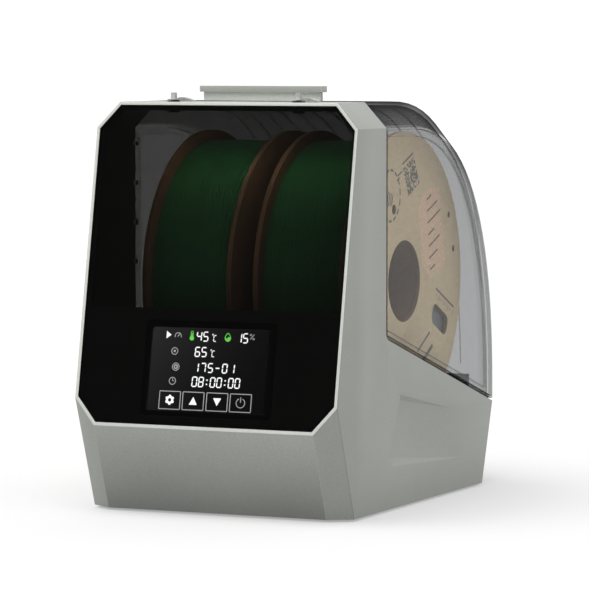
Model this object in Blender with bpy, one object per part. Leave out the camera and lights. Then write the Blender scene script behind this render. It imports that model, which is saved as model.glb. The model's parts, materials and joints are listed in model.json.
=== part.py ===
"""Filament dryer box for two spools: heated base, leaning front, hinged see-through lid.

Design values are in millimetres, measured up from the underside of the casing, and the scene is in metres.
+X is to the right seen from the front, +Y to the back and +Z up. The origin is under the middle of the box,
on the surface that its feet stand on.
"""

import math

import bmesh
import bpy
from mathutils import Matrix, Vector

MM = 0.001
GAP = 0.3  # clearance between neighbouring pieces

# Casing: an octagonal section, with a leaning front and a chin that tucks in under it
HALF_WIDTH = 93.1
FLAT_HALF_WIDTH = 77.8  # of the flat top, between its two chamfers
CHAMFER = 16.7  # height of a top chamfer, and depth of a rear corner
BODY_TOP = 264.6
FRONT_LOW = (-142.7, 55.9)  # y, z of the leaning front's lower edge
FRONT_HIGH = (-104.0, 264.6)
FRONT_CORNER = 17.7  # height of the front's lower corner cuts, along the front
CHIN_FOOT = -122.2
REAR_HIGH = (142.7, 56.8)
REAR_FOOT = 123.5
COVER = 2.6  # thickness of the front cover
WALL = 3.0  # of the rear
SIDE_WALL = 4.3  # of the sides and the frame's top
FRONT_WALL = 2.4
FOOT_HEIGHT = 1.5
PLATE = 2.6  # thickness of the bottom plate

# Front panel, in the plane of the front
RIM = 2.4
PANEL_RECESS = 0.25
PANEL = 2.2
PANEL_SEAT = 4.8  # how far in the ledge behind the panel reaches
WINDOW_LOW = 78.0  # height of the window's lower edge, along the front
DISPLAY_HALF_WIDTH = 46.0
DISPLAY_LOW, DISPLAY_HIGH = 9.0, 70.0

# Lid: its shoulder line is straight at the front and then a quarter of a superellipse
LID_FRONT = -60.8
ARC_START = -21.6
ARC_DEPTH = 147.6
ARC_HEIGHT = 191.1
ARC_LOW = 56.8
ARC_POWER = 2.45
ARC_STEPS = 22
LID_SKIN = 2.5
LID_LEDGE = 4.7  # depth of the ledge that a side window is glued to
WINDOW = 2.0
WINDOW_RIM = 1.4
PARTING_REAR = (123.4, 56.8)  # y, z of the sloping joint's rear end
PARTING_SLOPE = -0.301
PARTING_CORNER = 5.0
SEAL = 0.8
LID_REAR_LOW = 57.4

# Lid hinge
HINGE = (137.0, 52.7)
BARREL = 4.3
HINGE_PIN = 2.0
KNUCKLE = (30.0, 45.0)  # x range of a knuckle on the base
HINGE_END = 83.7
NOTCH_LOW = 47.3

# Spools
SPOOL_CENTRE = (16.6, 144.1)
SPOOL_RADIUS = 100.0
SPOOL_HUB = 27.3
SPOOL_CORE = 31.0
WOUND_RADIUS = 93.2
FLANGE = 3.6
SPOOL_INNER, SPOOL_OUTER = 7.8, 72.8  # distance of a spool's two ends from the middle of the box
WINDOW_SLOT_ANGLE = -25.5

# Roller bed
DECK_TOP = 41.2
DECK = 3.0
ROLLER_RADIUS = 9.0
ROLLER_ANGLE = 34.0
ROLLER_ENDS = (4.0, 77.0)
AXLE = 3.0
AXLE_END = 84.0
BEARING = (6.0, 4.0)  # outer radius, width
POST_X = (-80.5, 0.0, 80.5)

# Fan, heater and duct under the deck
FAN_CENTRE = (0.0, 86.0)
FAN = (60.0, 22.4, 37.4)  # width, low, high
DUCT = ((-36.0, -34.0, 5.5), (36.0, 118.0, 37.9))
HEATER = ((-33.0, 22.0, 8.0), (33.0, 38.0, 37.0))

# Filament outlets and lid handle
OUTLET_X, OUTLET_Y = 44.8, -91.6
BUSHING = (2.1, 4.0, 5.0)  # bore, outer and flange radius
BUSHING_FLANGE = 0.5
PLUG_DISC = 4.2
PLUG_POST = 2.0
HANDLE_HALF_WIDTH = 42.6
HANDLE_CAP_HALF_WIDTH = 45.1
HANDLE_FRONT, HANDLE_BACK = -54.1, -46.9
HANDLE_NECK_TOP, HANDLE_TOP = 270.7, 274.7

# Mains inlet and switch, in the plane of the rear
INLET_X, INLET_T = 52.0, 22.5
INLET_HALF = (13.6, 9.9)
SWITCH_X, SWITCH_T = 14.0, 22.5
SWITCH_HALF = (6.4, 9.6)
ROCKER_TILT = 9.0

SILVER = ("silver_plastic", (0.33, 0.35, 0.32), 0.45, 0.35)
BLACK = ("black_plastic", (0.012, 0.012, 0.013), 0.5, 0.0)
PANEL_BLACK = ("panel_acrylic", (0.004, 0.004, 0.004), 0.08, 0.0)
SMOKE = ("smoked_polycarbonate", (0.05, 0.05, 0.052), 0.1, 0.0)
CLEAR = ("clear_polycarbonate", (0.55, 0.57, 0.58), 0.05, 0.0)
RUBBER = ("black_rubber", (0.015, 0.015, 0.015), 0.85, 0.0)
SILICONE = ("grey_silicone", (0.3, 0.3, 0.29), 0.6, 0.0)
CARDBOARD = ("cardboard", (0.42, 0.31, 0.19), 0.9, 0.0)
FILAMENT = ("green_filament", (0.008, 0.05, 0.018), 0.4, 0.0)
STEEL = ("steel", (0.5, 0.5, 0.5), 0.3, 1.0)
CIRCUIT = ("circuit_board", (0.01, 0.09, 0.04), 0.5, 0.0)
ALLOY = ("heater_fins", (0.6, 0.6, 0.62), 0.4, 1.0)


# ---------------------------------------------------------------- shapes

def side_view(u, v, w):
    return Vector((w, u, v))


def plan_view(u, v, w):
    return Vector((u, v, w))


def front_view(u, v, w):
    return Vector((u, w, v))


def slope_frame(low, high):
    """Place function of a plane through two (y, z) points: u is x, v goes up the plane, w goes outwards."""
    up = Vector((0, high[0] - low[0], high[1] - low[1])).normalized()
    out = Vector((0, -up.z, up.y)) if low[0] < 0 else Vector((0, up.z, -up.y))
    base = Vector((0, low[0], low[1]))

    def place(u, v, w):
        return base + Vector((u, 0, 0)) + up * v + out * w

    return place


on_front = slope_frame(FRONT_LOW, FRONT_HIGH)
on_rear = slope_frame((REAR_FOOT, 0.0), REAR_HIGH)
FRONT_LENGTH = math.dist(FRONT_LOW, FRONT_HIGH)


def closed_mesh(bm):
    bmesh.ops.recalc_face_normals(bm, faces=bm.faces[:])
    return bm


def extruded(outline, place, near, far):
    """Closed prism of an outline of (u, v) points, from w = near to w = far."""
    bm = bmesh.new()
    rings = [[bm.verts.new(place(u, v, w)) for u, v in outline] for w in (near, far)]
    bm.faces.new(rings[0])
    bm.faces.new(rings[1])
    count = len(outline)
    for i in range(count):
        j = (i + 1) % count
        bm.faces.new((rings[0][i], rings[0][j], rings[1][j], rings[1][i]))
    return closed_mesh(bm)


def box(low, high):
    corners = ((low[0], low[1]), (high[0], low[1]), (high[0], high[1]), (low[0], high[1]))
    return extruded(corners, plan_view, low[2], high[2])


def rectangle(half_width, low, high, centre=0.0):
    left, right = centre - half_width, centre + half_width
    return [(left, low), (right, low), (right, high), (left, high)]


def rounded_rectangle(left, low, right, high, radius, steps=4):
    points = []
    for cx, cy, start in (
        (right - radius, low + radius, -90),
        (right - radius, high - radius, 0),
        (left + radius, high - radius, 90),
        (left + radius, low + radius, 180),
    ):
        for i in range(steps + 1):
            angle = math.radians(start + 90 * i / steps)
            points.append((cx + radius * math.cos(angle), cy + radius * math.sin(angle)))
    return points


def circle(cu, cv, radius, steps=24):
    turn = 2 * math.pi / steps
    return [(cu + radius * math.cos(i * turn), cv + radius * math.sin(i * turn)) for i in range(steps)]


def turned(profile, place, steps=32):
    """Closed profile of (radius, w) points turned about the w axis of a place function."""
    bm = bmesh.new()
    rings = []
    for i in range(steps):
        angle = 2 * math.pi * i / steps
        ring = []
        for k, (radius, w) in enumerate(profile):
            if radius == 0 and i:
                ring.append(rings[0][k])
            else:
                ring.append(bm.verts.new(place(radius * math.cos(angle), radius * math.sin(angle), w)))
        rings.append(ring)
    for i in range(steps):
        here, there = rings[i], rings[(i + 1) % steps]
        for k in range(len(profile)):
            n = (k + 1) % len(profile)
            corners = []
            for vert in (here[k], here[n], there[n], there[k]):
                if vert not in corners:
                    corners.append(vert)
            if len(corners) > 2:
                bm.faces.new(corners)
    return closed_mesh(bm)


def about(place, cu, cv):
    return lambda u, v, w: place(cu + u, cv + v, w)


def ring_profile(inner, outer, low, high):
    return [(inner, low), (outer, low), (outer, high), (inner, high)]


def hull(points):
    bm = bmesh.new()
    verts = [bm.verts.new(point) for point in points]
    made = bmesh.ops.convex_hull(bm, input=verts)
    inside = made["geom_unused"] + made["geom_interior"]
    spare = {item for item in inside if isinstance(item, bmesh.types.BMVert)}
    bmesh.ops.delete(bm, geom=list(spare), context="VERTS")
    return closed_mesh(bm)


def together(*parts):
    """One mesh that holds several closed meshes."""
    whole = bmesh.new()
    for part in parts:
        mesh = bpy.data.meshes.new("part")
        part.to_mesh(mesh)
        part.free()
        whole.from_mesh(mesh)
        bpy.data.meshes.remove(mesh)
    return whole


# ---------------------------------------------------------------- pieces

for old in list(bpy.data.objects):
    bpy.data.objects.remove(old, do_unlink=True)

ROOT = bpy.data.objects.new("dryer_box", None)
ROOT.location = (0, 0, FOOT_HEIGHT * MM)
bpy.context.scene.collection.objects.link(ROOT)


def finish_material(finish):
    name, colour, roughness, metallic = finish
    material = bpy.data.materials.get(name)
    if material is None:
        material = bpy.data.materials.new(name)
        material.use_nodes = True
        shader = material.node_tree.nodes["Principled BSDF"]
        shader.inputs["Base Color"].default_value = (*colour, 1.0)
        shader.inputs["Roughness"].default_value = roughness
        shader.inputs["Metallic"].default_value = metallic
    return material


def new_object(name, bm, at):
    bmesh.ops.translate(bm, vec=-Vector(at), verts=bm.verts[:])
    bmesh.ops.scale(bm, vec=(MM, MM, MM), verts=bm.verts[:])
    mesh = bpy.data.meshes.new(name)
    bm.to_mesh(mesh)
    bm.free()
    obj = bpy.data.objects.new(name, mesh)
    obj.parent = ROOT
    obj.location = Vector(at) * MM
    bpy.context.scene.collection.objects.link(obj)
    return obj


def piece(name, bm, finish, at=(0, 0, 0), smooth=False):
    """A named piece, with its origin at a point of the body."""
    obj = new_object(name, bm, at)
    obj.data.materials.append(finish_material(finish))
    if smooth:
        obj.data.shade_smooth()
        obj.data.set_sharp_from_angle(angle=math.radians(35))
    return obj


def change(obj, operation, bm):
    """Adds, cuts or keeps the overlap with a helper mesh, which stays in the scene as a wire guide."""
    guide = new_object(f"{obj.name}_guide_{len(obj.modifiers)}", bm, (0, 0, 0))
    guide.hide_render = True
    guide.display_type = "WIRE"
    modifier = obj.modifiers.new(guide.name, "BOOLEAN")
    modifier.operation = operation
    modifier.object = guide


def cut(obj, bm):
    change(obj, "DIFFERENCE", bm)


def add(obj, bm):
    change(obj, "UNION", bm)


# ---------------------------------------------------------------- casing planes

INSIDE = Vector((0, 0, 130))


def plane_through(a, b, c):
    """(normal, distance) of a plane, with its normal facing out of the casing."""
    normal = (b - a).cross(c - a).normalized()
    if normal.dot(INSIDE - a) > 0:
        normal.negate()
    return normal, normal.dot(a)


def mirrored(plane):
    normal, distance = plane
    return Vector((-normal.x, normal.y, normal.z)), distance


def casing_faces():
    """The casing's planes by name, on its right-hand side."""
    corner_low = on_front(FLAT_HALF_WIDTH, 0, 0)
    corner_side = on_front(HALF_WIDTH, FRONT_CORNER, 0)
    corner_foot = Vector((FLAT_HALF_WIDTH, CHIN_FOOT, 0))
    rear_high = Vector((FLAT_HALF_WIDTH, *REAR_HIGH))
    rear_side = Vector((HALF_WIDTH, REAR_HIGH[0] - CHAMFER, REAR_HIGH[1]))
    rear_foot = Vector((FLAT_HALF_WIDTH, REAR_FOOT, 0))
    shoulder = Vector((HALF_WIDTH, 0, BODY_TOP - CHAMFER))
    ridge = Vector((FLAT_HALF_WIDTH, 0, BODY_TOP))
    x, y = Vector((1, 0, 0)), Vector((0, 1, 0))
    return {
        "front": plane_through(on_front(0, 0, 0), on_front(1, 0, 0), on_front(0, 1, 0)),
        "chin": plane_through(corner_low, corner_foot, corner_low - x),
        "corner": plane_through(corner_low, corner_side, corner_foot),
        "side": (x, HALF_WIDTH),
        "top": (Vector((0, 0, 1)), BODY_TOP),
        "chamfer": plane_through(shoulder, ridge, shoulder + y),
        "rear": plane_through(rear_high, rear_foot, rear_high - x),
        "rear_corner": plane_through(rear_high, rear_side, rear_foot),
        "bottom": (Vector((0, 0, -1)), 0.0),
    }


FACES = casing_faces()
FRONT_GROUP = ("front", "chin", "corner")
REAR_GROUP = ("rear", "rear_corner")


def casing(front=0.0, sides=0.0, rear=0.0, low=0.0, high=None):
    """The casing's outer form with its faces moved inwards, between two heights."""
    bm = bmesh.new()
    bmesh.ops.create_cube(bm, size=1200)
    planes = []
    for name, (normal, distance) in FACES.items():
        if name == "bottom":
            continue
        inset = front if name in FRONT_GROUP else rear if name in REAR_GROUP else sides
        moved = (normal, distance - inset)
        planes.append(moved)
        if normal.x:
            planes.append(mirrored(moved))
    planes.append((Vector((0, 0, -1)), -low))
    if high is not None:
        planes.append((Vector((0, 0, 1)), high))
    for normal, distance in planes:
        everything = bm.verts[:] + bm.edges[:] + bm.faces[:]
        made = bmesh.ops.bisect_plane(
            bm, geom=everything, dist=1e-4, plane_co=normal * distance, plane_no=normal, clear_outer=True
        )
        rim = [item for item in made["geom_cut"] if isinstance(item, bmesh.types.BMEdge)]
        bmesh.ops.contextual_create(bm, geom=rim)
    return closed_mesh(bm)


def meeting_point(planes):
    rows = Matrix([plane[0] for plane in planes])
    return rows.inverted() @ Vector([plane[1] for plane in planes])


def cover_shell(outer, inner, side_shift, low):
    """The slab behind the leaning front, the chin and its two corners, with mitred edges."""

    def corners(inset):
        moved = {}
        for name, (normal, distance) in FACES.items():
            shift = inset if name in FRONT_GROUP else 0.0 if name == "bottom" else inset - side_shift
            moved[name] = (normal, distance - shift)
        moved["bottom"] = (moved["bottom"][0], -low)
        triples = (
            ("front", "top", "chamfer"),
            ("front", "chamfer", "side"),
            ("front", "side", "corner"),
            ("front", "corner", "chin"),
            ("chin", "corner", "bottom"),
            ("corner", "side", "bottom"),
        )
        return [meeting_point([moved[name] for name in triple]) for triple in triples]

    bm = bmesh.new()
    shells = []
    for inset in (outer, inner):
        right = corners(inset)
        left = [Vector((-point.x, point.y, point.z)) for point in right]
        shells.append(([bm.verts.new(p) for p in right], [bm.verts.new(p) for p in left]))
    for right, left in shells:
        bm.faces.new(right[:4] + left[:4][::-1])
        bm.faces.new((right[3], right[4], left[4], left[3]))
        for half in (right, left):
            bm.faces.new((half[2], half[5], half[4], half[3]))
    rims = []
    for right, left in shells:
        rims.append([right[i] for i in (4, 5, 2, 1, 0)] + [left[i] for i in (0, 1, 2, 5, 4)])
    for i in range(10):
        j = (i + 1) % 10
        bm.faces.new((rims[0][i], rims[0][j], rims[1][j], rims[1][i]))
    return closed_mesh(bm)


def front_octagon(inset, low=None):
    """Outline of the leaning front, in the plane of the front, moved inwards."""
    side = HALF_WIDTH - inset
    corner_rise = (BODY_TOP - CHAMFER - FRONT_LOW[1]) * FRONT_LENGTH / (FRONT_HIGH[1] - FRONT_LOW[1])
    half = []
    for flat_s, side_s, edge_s in (
        (0.0, FRONT_CORNER, inset),
        (FRONT_LENGTH, corner_rise, FRONT_LENGTH - inset),
    ):
        flat = Vector((FLAT_HALF_WIDTH, flat_s))
        direction = (Vector((HALF_WIDTH, side_s)) - flat).normalized()
        inward = Vector((-abs(direction.y), direction.x * math.copysign(1, direction.y)))
        start = flat + inward * inset
        on_edge = start + direction * ((edge_s - start.y) / direction.y)
        on_side = start + direction * ((side - start.x) / direction.x)
        half.append((on_edge, on_side))
    (low_edge, low_side), (high_edge, high_side) = half
    right = [high_edge, high_side, low_side, low_edge]
    if low is not None:
        right = [high_edge, high_side, Vector((side, low))]
    return [tuple(p) for p in right] + [(-p.x, p.y) for p in reversed(right)]


# ---------------------------------------------------------------- lid form

def shoulder_line(low=30.0, front=LID_FRONT):
    """Stations (y, z, normal y, normal z) of the lid's shoulder, from the front down to the rear."""
    stations = [(front, ARC_LOW + ARC_HEIGHT, 0.0, 1.0)]
    for i in range(ARC_STEPS + 1):
        angle = math.radians(90 * (1 - i / ARC_STEPS))
        across = max(math.cos(angle), 0.0) ** (2 / ARC_POWER)
        rise = max(math.sin(angle), 0.0) ** (2 / ARC_POWER)
        slope = Vector((across ** (ARC_POWER - 1) / ARC_DEPTH, rise ** (ARC_POWER - 1) / ARC_HEIGHT))
        slope.normalize()
        stations.append((ARC_START + ARC_DEPTH * across, ARC_LOW + ARC_HEIGHT * rise, slope.x, slope.y))
    last = stations[-1]
    stations.append((last[0], low, 1.0, 0.0))
    return stations


def lid_form(side, skin, low, front=LID_FRONT):
    """Solid of the lid's octagonal section swept along its shoulder, skin under the outer surface."""
    slant = Vector((CHAMFER, HALF_WIDTH - FLAT_HALF_WIDTH)).normalized()
    reach = slant.x * HALF_WIDTH - skin
    drop = (reach - slant.x * side) / slant.y
    ridge = (reach - slant.y * (CHAMFER - skin)) / slant.x
    section = [(-side, drop), (-ridge, CHAMFER - skin), (ridge, CHAMFER - skin), (side, drop)]
    bm = bmesh.new()
    rings = []
    for y, z, ny, nz in shoulder_line(low, front):
        rings.append([bm.verts.new((x, y + ny * d, z + nz * d)) for x, d in section])
    heels = [bm.verts.new((x, front, low)) for x in (-side, side)]
    for here, there in zip(rings, rings[1:]):
        for k in range(3):
            bm.faces.new((here[k], here[k + 1], there[k + 1], there[k]))
    bm.faces.new([ring[0] for ring in rings] + [heels[0]])
    bm.faces.new([ring[3] for ring in rings] + [heels[1]])
    bm.faces.new([heels[0]] + rings[0] + [heels[1]])
    bm.faces.new([heels[0]] + rings[-1] + [heels[1]])
    return closed_mesh(bm)


def parting_line(offset):
    """(y, z) points of the joint between lid and casing, moved towards the lid by offset."""
    tilt = math.atan(PARTING_SLOPE)
    normal = Vector((-math.sin(tilt), math.cos(tilt)))
    radius = PARTING_CORNER - offset
    centre_y = LID_FRONT + PARTING_CORNER
    rise = PARTING_CORNER / normal.y
    centre_z = PARTING_REAR[1] + PARTING_SLOPE * (centre_y - PARTING_REAR[0]) + rise
    points = [(LID_FRONT + offset, 400.0)]
    start, end, steps = math.pi, math.pi * 1.5 + tilt, 4
    for i in range(steps + 1):
        angle = start + (end - start) * i / steps
        points.append((centre_y + radius * math.cos(angle), centre_z + radius * math.sin(angle)))
    far = 300.0
    line_z = PARTING_REAR[1] + PARTING_SLOPE * (far - PARTING_REAR[0]) + offset / normal.y
    points.append((far, line_z))
    return points


def lid_zone(offset):
    return extruded(parting_line(offset) + [(300.0, 400.0)], side_view, -150, 150)


def casing_zone(offset):
    outline = parting_line(offset) + [(300.0, -60.0), (-300.0, -60.0), (-300.0, 400.0)]
    return extruded(outline, side_view, -150, 150)


def clipped(outline, normal, distance):
    """The part of a convex outline where normal . point >= distance."""
    kept = []
    count = len(outline)
    for i in range(count):
        a, b = Vector(outline[i]), Vector(outline[(i + 1) % count])
        da, db = normal.dot(a) - distance, normal.dot(b) - distance
        if da >= 0:
            kept.append(tuple(a))
        if da * db < 0:
            kept.append(tuple(a + (b - a) * (da / (da - db))))
    return kept


def side_outline(inset):
    """(y, z) outline of a lid side inside its rim."""
    front = LID_FRONT + SEAL / 2 + GAP
    outline = [(y - ny * inset, z - nz * inset) for y, z, ny, nz in shoulder_line()]
    outline.append((front, 30.0))
    outline = clipped(outline, Vector((1, 0)), front + inset)
    tilt = math.atan(PARTING_SLOPE)
    upward = Vector((-math.sin(tilt), math.cos(tilt)))
    edge = upward.dot(Vector(PARTING_REAR)) + SEAL / 2 + GAP + inset
    outline = clipped(outline, upward, edge)
    return clipped(outline, Vector((0, 1)), LID_REAR_LOW + inset)


# ---------------------------------------------------------------- casing pieces

def grip_dent(side):
    """Wedge cut from a side: deep at its front end, running out to nothing at the back."""
    outer, depth = HALF_WIDTH + 0.05, 2.8
    rim = ((-37.2, 73.5), (52.0, 56.5), (68.6, 45.5), (68.6, 21.8), (-49.5, 27.6), (-56.0, 31.8))
    floor = ((-33.6, 69.6, depth), (-50.8, 33.0, depth), (44.0, 52.5, 0.7), (60.0, 25.5, 0.3))
    points = [Vector((side * outer, y, z)) for y, z in rim]
    points += [Vector((side * (HALF_WIDTH - d), y, z)) for y, z, d in floor]
    return hull(points)


def boss_places():
    return [(x, y) for x in (-84.5, 84.5) for y in (-85.0, 95.0)]


def knuckle_outline():
    """(y, z) outline of a base knuckle: a barrel about the hinge, on an arm that joins the rear wall."""
    steps, start, end = 18, -50.0, 185.0
    outline = []
    for i in range(steps + 1):
        angle = math.radians(start + (end - start) * i / steps)
        outline.append((HINGE[0] + BARREL * math.cos(angle), HINGE[1] + BARREL * math.sin(angle)))
    return outline + [(HINGE[0] - 4.0, 48.0), (HINGE[0] - 1.2, 42.0), (HINGE[0] + 0.5, 44.0)]


def make_housing():
    deck_low = DECK_TOP - DECK
    edge = LID_FRONT - SEAL / 2 - GAP
    housing = piece("housing_shell", casing(), SILVER)
    cut(housing, lid_zone(-SEAL / 2 - GAP))
    cut(housing, cover_shell(-1.0, COVER + GAP, GAP, -1.0))
    cut(housing, casing(front=COVER + GAP + FRONT_WALL, sides=SIDE_WALL, rear=WALL, low=-10))
    tabs = []
    for side in (-1, 1):
        ends = sorted((side * (HALF_WIDTH - SIDE_WALL + 0.5), side * (HALF_WIDTH - SIDE_WALL - 2.2)))
        for z in (157.8, 183.9, 210.1, 236.4):
            tabs.append(box((ends[0], edge - 3.0, z - 1.6), (ends[1], edge - 0.4, z + 1.6)))
    bosses = [extruded(circle(x, y, 5.6), plan_view, PLATE + GAP, deck_low - GAP) for x, y in boss_places()]
    add(housing, together(*tabs, *bosses))
    for side in (-1, 1):
        cut(housing, grip_dent(side))
    display = rounded_rectangle(
        -DISPLAY_HALF_WIDTH - 0.5, DISPLAY_LOW - 0.5, DISPLAY_HALF_WIDTH + 0.5, DISPLAY_HIGH + 0.5, 3
    )
    openings = [
        extruded(front_octagon(PANEL_SEAT, WINDOW_LOW), on_front, -12, -1),
        extruded(display, on_front, -12, -1),
        box((-HINGE_END - GAP, 125.0, NOTCH_LOW), (HINGE_END + GAP, 160.0, 70.0)),
        extruded(rectangle(INLET_HALF[0] + GAP, *inlet_span(GAP), INLET_X), on_rear, -8, 2),
        extruded(rectangle(SWITCH_HALF[0] + GAP, *switch_span(GAP), SWITCH_X), on_rear, -8, 2),
    ]
    openings += [extruded(circle(x, y, 1.7, 16), plan_view, 0, 20) for x, y in boss_places()]
    openings += [
        extruded(circle(x, OUTLET_Y, BUSHING[1] + GAP, 24), plan_view, 255, 270)
        for x in (-OUTLET_X, OUTLET_X)
    ]
    cut(housing, together(*openings))
    for side in (-1, 1):
        ends = sorted(side * x for x in KNUCKLE)
        add(housing, extruded(knuckle_outline(), side_view, *ends))
    cut(housing, extruded(circle(*HINGE, HINGE_PIN + GAP, 20), side_view, -KNUCKLE[1] - 1, KNUCKLE[1] + 1))


def make_front():
    cover = piece("front_cover", cover_shell(0.0, COVER, 0.0, 0.0), SILVER)
    cut(cover, extruded(front_octagon(RIM - GAP), on_front, -9, 3))
    panel = extruded(front_octagon(RIM), on_front, -PANEL_RECESS - PANEL, -PANEL_RECESS)
    piece("front_panel", panel, PANEL_BLACK)
    back = -PANEL_RECESS - PANEL - GAP
    outline = rounded_rectangle(-DISPLAY_HALF_WIDTH, DISPLAY_LOW, DISPLAY_HALF_WIDTH, DISPLAY_HIGH, 2.5)
    module = piece("display_module", extruded(outline, on_front, back - 5.5, back), BLACK)
    lens = rounded_rectangle(-42.1, 11.6, 42.1, 65.9, 2.0)
    cut(module, extruded(lens, on_front, back - 0.4, back + 1))
    board = piece(
        "display_board", extruded(rectangle(48.0, 7.0, 72.0), on_front, back - 7.4, back - 5.8), CIRCUIT
    )
    parts = [
        extruded(rectangle(7.0, 30.0, 44.0, x), on_front, back - 9.4, back - 7.0) for x in (-22.0, 12.0)
    ]
    parts.append(extruded(rectangle(11.0, 58.0, 64.0, 24.0), on_front, back - 12.4, back - 7.0))
    add(board, together(*parts))


def make_base():
    front = COVER + FRONT_WALL + 2 * GAP
    form = casing(front=front, sides=SIDE_WALL + GAP, rear=WALL + GAP, high=PLATE)
    plate = piece("bottom_plate", form, BLACK)
    counterbore = [(0, -1), (3.4, -1), (3.4, 1.5), (1.7, 1.5), (1.7, 5), (0, 5)]
    cut(plate, together(*[turned(counterbore, about(plan_view, x, y), 20) for x, y in boss_places()]))
    for index, (x, y) in enumerate(boss_places(), 1):
        profile = [(0, 0.2), (3.1, 0.2), (3.1, 1.2), (1.4, 1.5), (1.4, 16), (0, 17)]
        screw = turned(profile, about(plan_view, x, y), 16)
        piece(f"case_screw_{index}", screw, STEEL, smooth=True)
    for index, (x, y) in enumerate([(x, y) for x in (-64.0, 64.0) for y in (-96.0, 100.0)], 1):
        profile = [(0, -FOOT_HEIGHT), (7.4, -FOOT_HEIGHT), (8.0, -FOOT_HEIGHT + 0.5)]
        profile += [(8.0, -GAP), (0, -GAP)]
        piece(f"rubber_foot_{index}", turned(profile, about(plan_view, x, y), 24), RUBBER, smooth=True)


def make_deck():
    low = DECK_TOP - DECK
    inset = COVER + FRONT_WALL + 2 * GAP
    plate = casing(front=inset, sides=SIDE_WALL + GAP, rear=WALL + GAP, low=low, high=DECK_TOP)
    deck = piece("chamber_deck", plate, BLACK)
    axle_z = roller_axes()[0][1]
    posts = []
    for x in POST_X:
        for y, _ in roller_axes():
            posts.append(box((x - 3, y - 7, DECK_TOP - 1), (x + 3, y + 7, axle_z + 3.5)))
    add(deck, together(*posts))
    holes = []
    for y, _ in roller_axes():
        slot = [(y - AXLE - GAP, axle_z - AXLE - GAP), (y + AXLE + GAP, axle_z - AXLE - GAP)]
        slot += [(y + AXLE + GAP, 70), (y - AXLE - GAP, 70)]
        holes.append(extruded(slot, side_view, -90, 90))
    for i in range(-4, 5):
        half = math.sqrt(27.0**2 - (5.8 * i) ** 2)
        y = FAN_CENTRE[1] + 5.8 * i
        holes.append(extruded(rectangle(half, y - 1.5, y + 1.5), plan_view, low - 1, DECK_TOP + 1))
    for i in range(5):
        y = -28.0 + 6.5 * i
        holes.append(extruded(rectangle(30.0, y - 1.6, y + 1.6), plan_view, low - 1, DECK_TOP + 1))
    cut(deck, together(*holes))


def roller_axes():
    """(y, z) of the front and rear roller axes, under the spools."""
    reach = SPOOL_RADIUS + ROLLER_RADIUS + GAP
    angle = math.radians(ROLLER_ANGLE)
    z = SPOOL_CENTRE[1] - reach * math.cos(angle)
    return [(SPOOL_CENTRE[0] + side * reach * math.sin(angle), z) for side in (-1, 1)]


def make_rollers():
    near, far = ROLLER_ENDS
    bearing_radius, bearing_width = BEARING
    seat = bearing_width + GAP
    for row, (y, z) in zip(("front", "rear"), roller_axes()):
        place = about(side_view, y, z)
        profile = [(0, -AXLE_END), (AXLE - 0.5, -AXLE_END), (AXLE, -AXLE_END + 0.5)]
        profile += [(AXLE, AXLE_END - 0.5), (AXLE - 0.5, AXLE_END), (0, AXLE_END)]
        piece(f"roller_axle_{row}", turned(profile, place, 20), STEEL, smooth=True)
        for side, name in ((-1, "left"), (1, "right")):
            centre = (side * (near + far) / 2, y, z)
            wall = bearing_radius + GAP
            tube = [
                (wall, near), (ROLLER_RADIUS - 0.8, near), (ROLLER_RADIUS, near + 0.8),
                (ROLLER_RADIUS, far - 0.8), (ROLLER_RADIUS - 0.8, far), (wall, far),
                (wall, far - seat), (AXLE + 1.2, far - seat), (AXLE + 1.2, near + seat), (wall, near + seat),
            ]
            tube = [(radius, side * x) for radius, x in tube]
            piece(f"roller_{row}_{name}", turned(tube, place, 32), RUBBER, at=centre, smooth=True)
            for end, start in (("inner", near), ("outer", far - bearing_width)):
                ring = ring_profile(AXLE + GAP, bearing_radius, side * start, side * (start + bearing_width))
                bearing = turned(ring, place, 20)
                piece(f"roller_bearing_{row}_{name}_{end}", bearing, STEEL, at=centre, smooth=True)


def make_spool(side, name):
    y, z = SPOOL_CENTRE
    place = about(side_view, y, z)
    centre = (side * (SPOOL_INNER + SPOOL_OUTER) / 2, y, z)
    turn = math.radians(WINDOW_SLOT_ANGLE)

    def turned_slot(u, v, w):
        along = u * math.cos(turn) - v * math.sin(turn)
        up = u * math.sin(turn) + v * math.cos(turn)
        return side_view(y + along, z + up, w)

    for end, start in (("inner", SPOOL_INNER), ("outer", SPOOL_OUTER - FLANGE)):
        ends = sorted((side * start, side * (start + FLANGE)))
        disc = turned(ring_profile(SPOOL_HUB, SPOOL_RADIUS, *ends), place, 64)
        flange = piece(f"spool_{name}_flange_{end}", disc, CARDBOARD, at=centre, smooth=True)
        through = (ends[0] - 1, ends[1] + 1)
        marks = [extruded(rounded_rectangle(54.5, -7.0, 83.5, 7.0, 5.0), turned_slot, *through)]
        for radius, angle, size in ((88.0, 28.1, 2.3), (88.0, 11.6, 2.3), (51.6, 110.0, 3.4)):
            u, v = radius * math.cos(math.radians(angle)), radius * math.sin(math.radians(angle))
            marks.append(extruded(circle(y + u, z + v, size, 12), side_view, *through))
        cut(flange, together(*marks))
    core_ends = sorted((side * (SPOOL_INNER + FLANGE + GAP), side * (SPOOL_OUTER - FLANGE - GAP)))
    core = turned(ring_profile(SPOOL_HUB, SPOOL_CORE, *core_ends), place, 48)
    piece(f"spool_{name}_core", core, CARDBOARD, at=centre, smooth=True)
    wound = turned(ring_profile(SPOOL_CORE + GAP, WOUND_RADIUS, *core_ends), place, 64)
    piece(f"filament_{name}", wound, FILAMENT, at=centre, smooth=True)


# ---------------------------------------------------------------- lid

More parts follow.
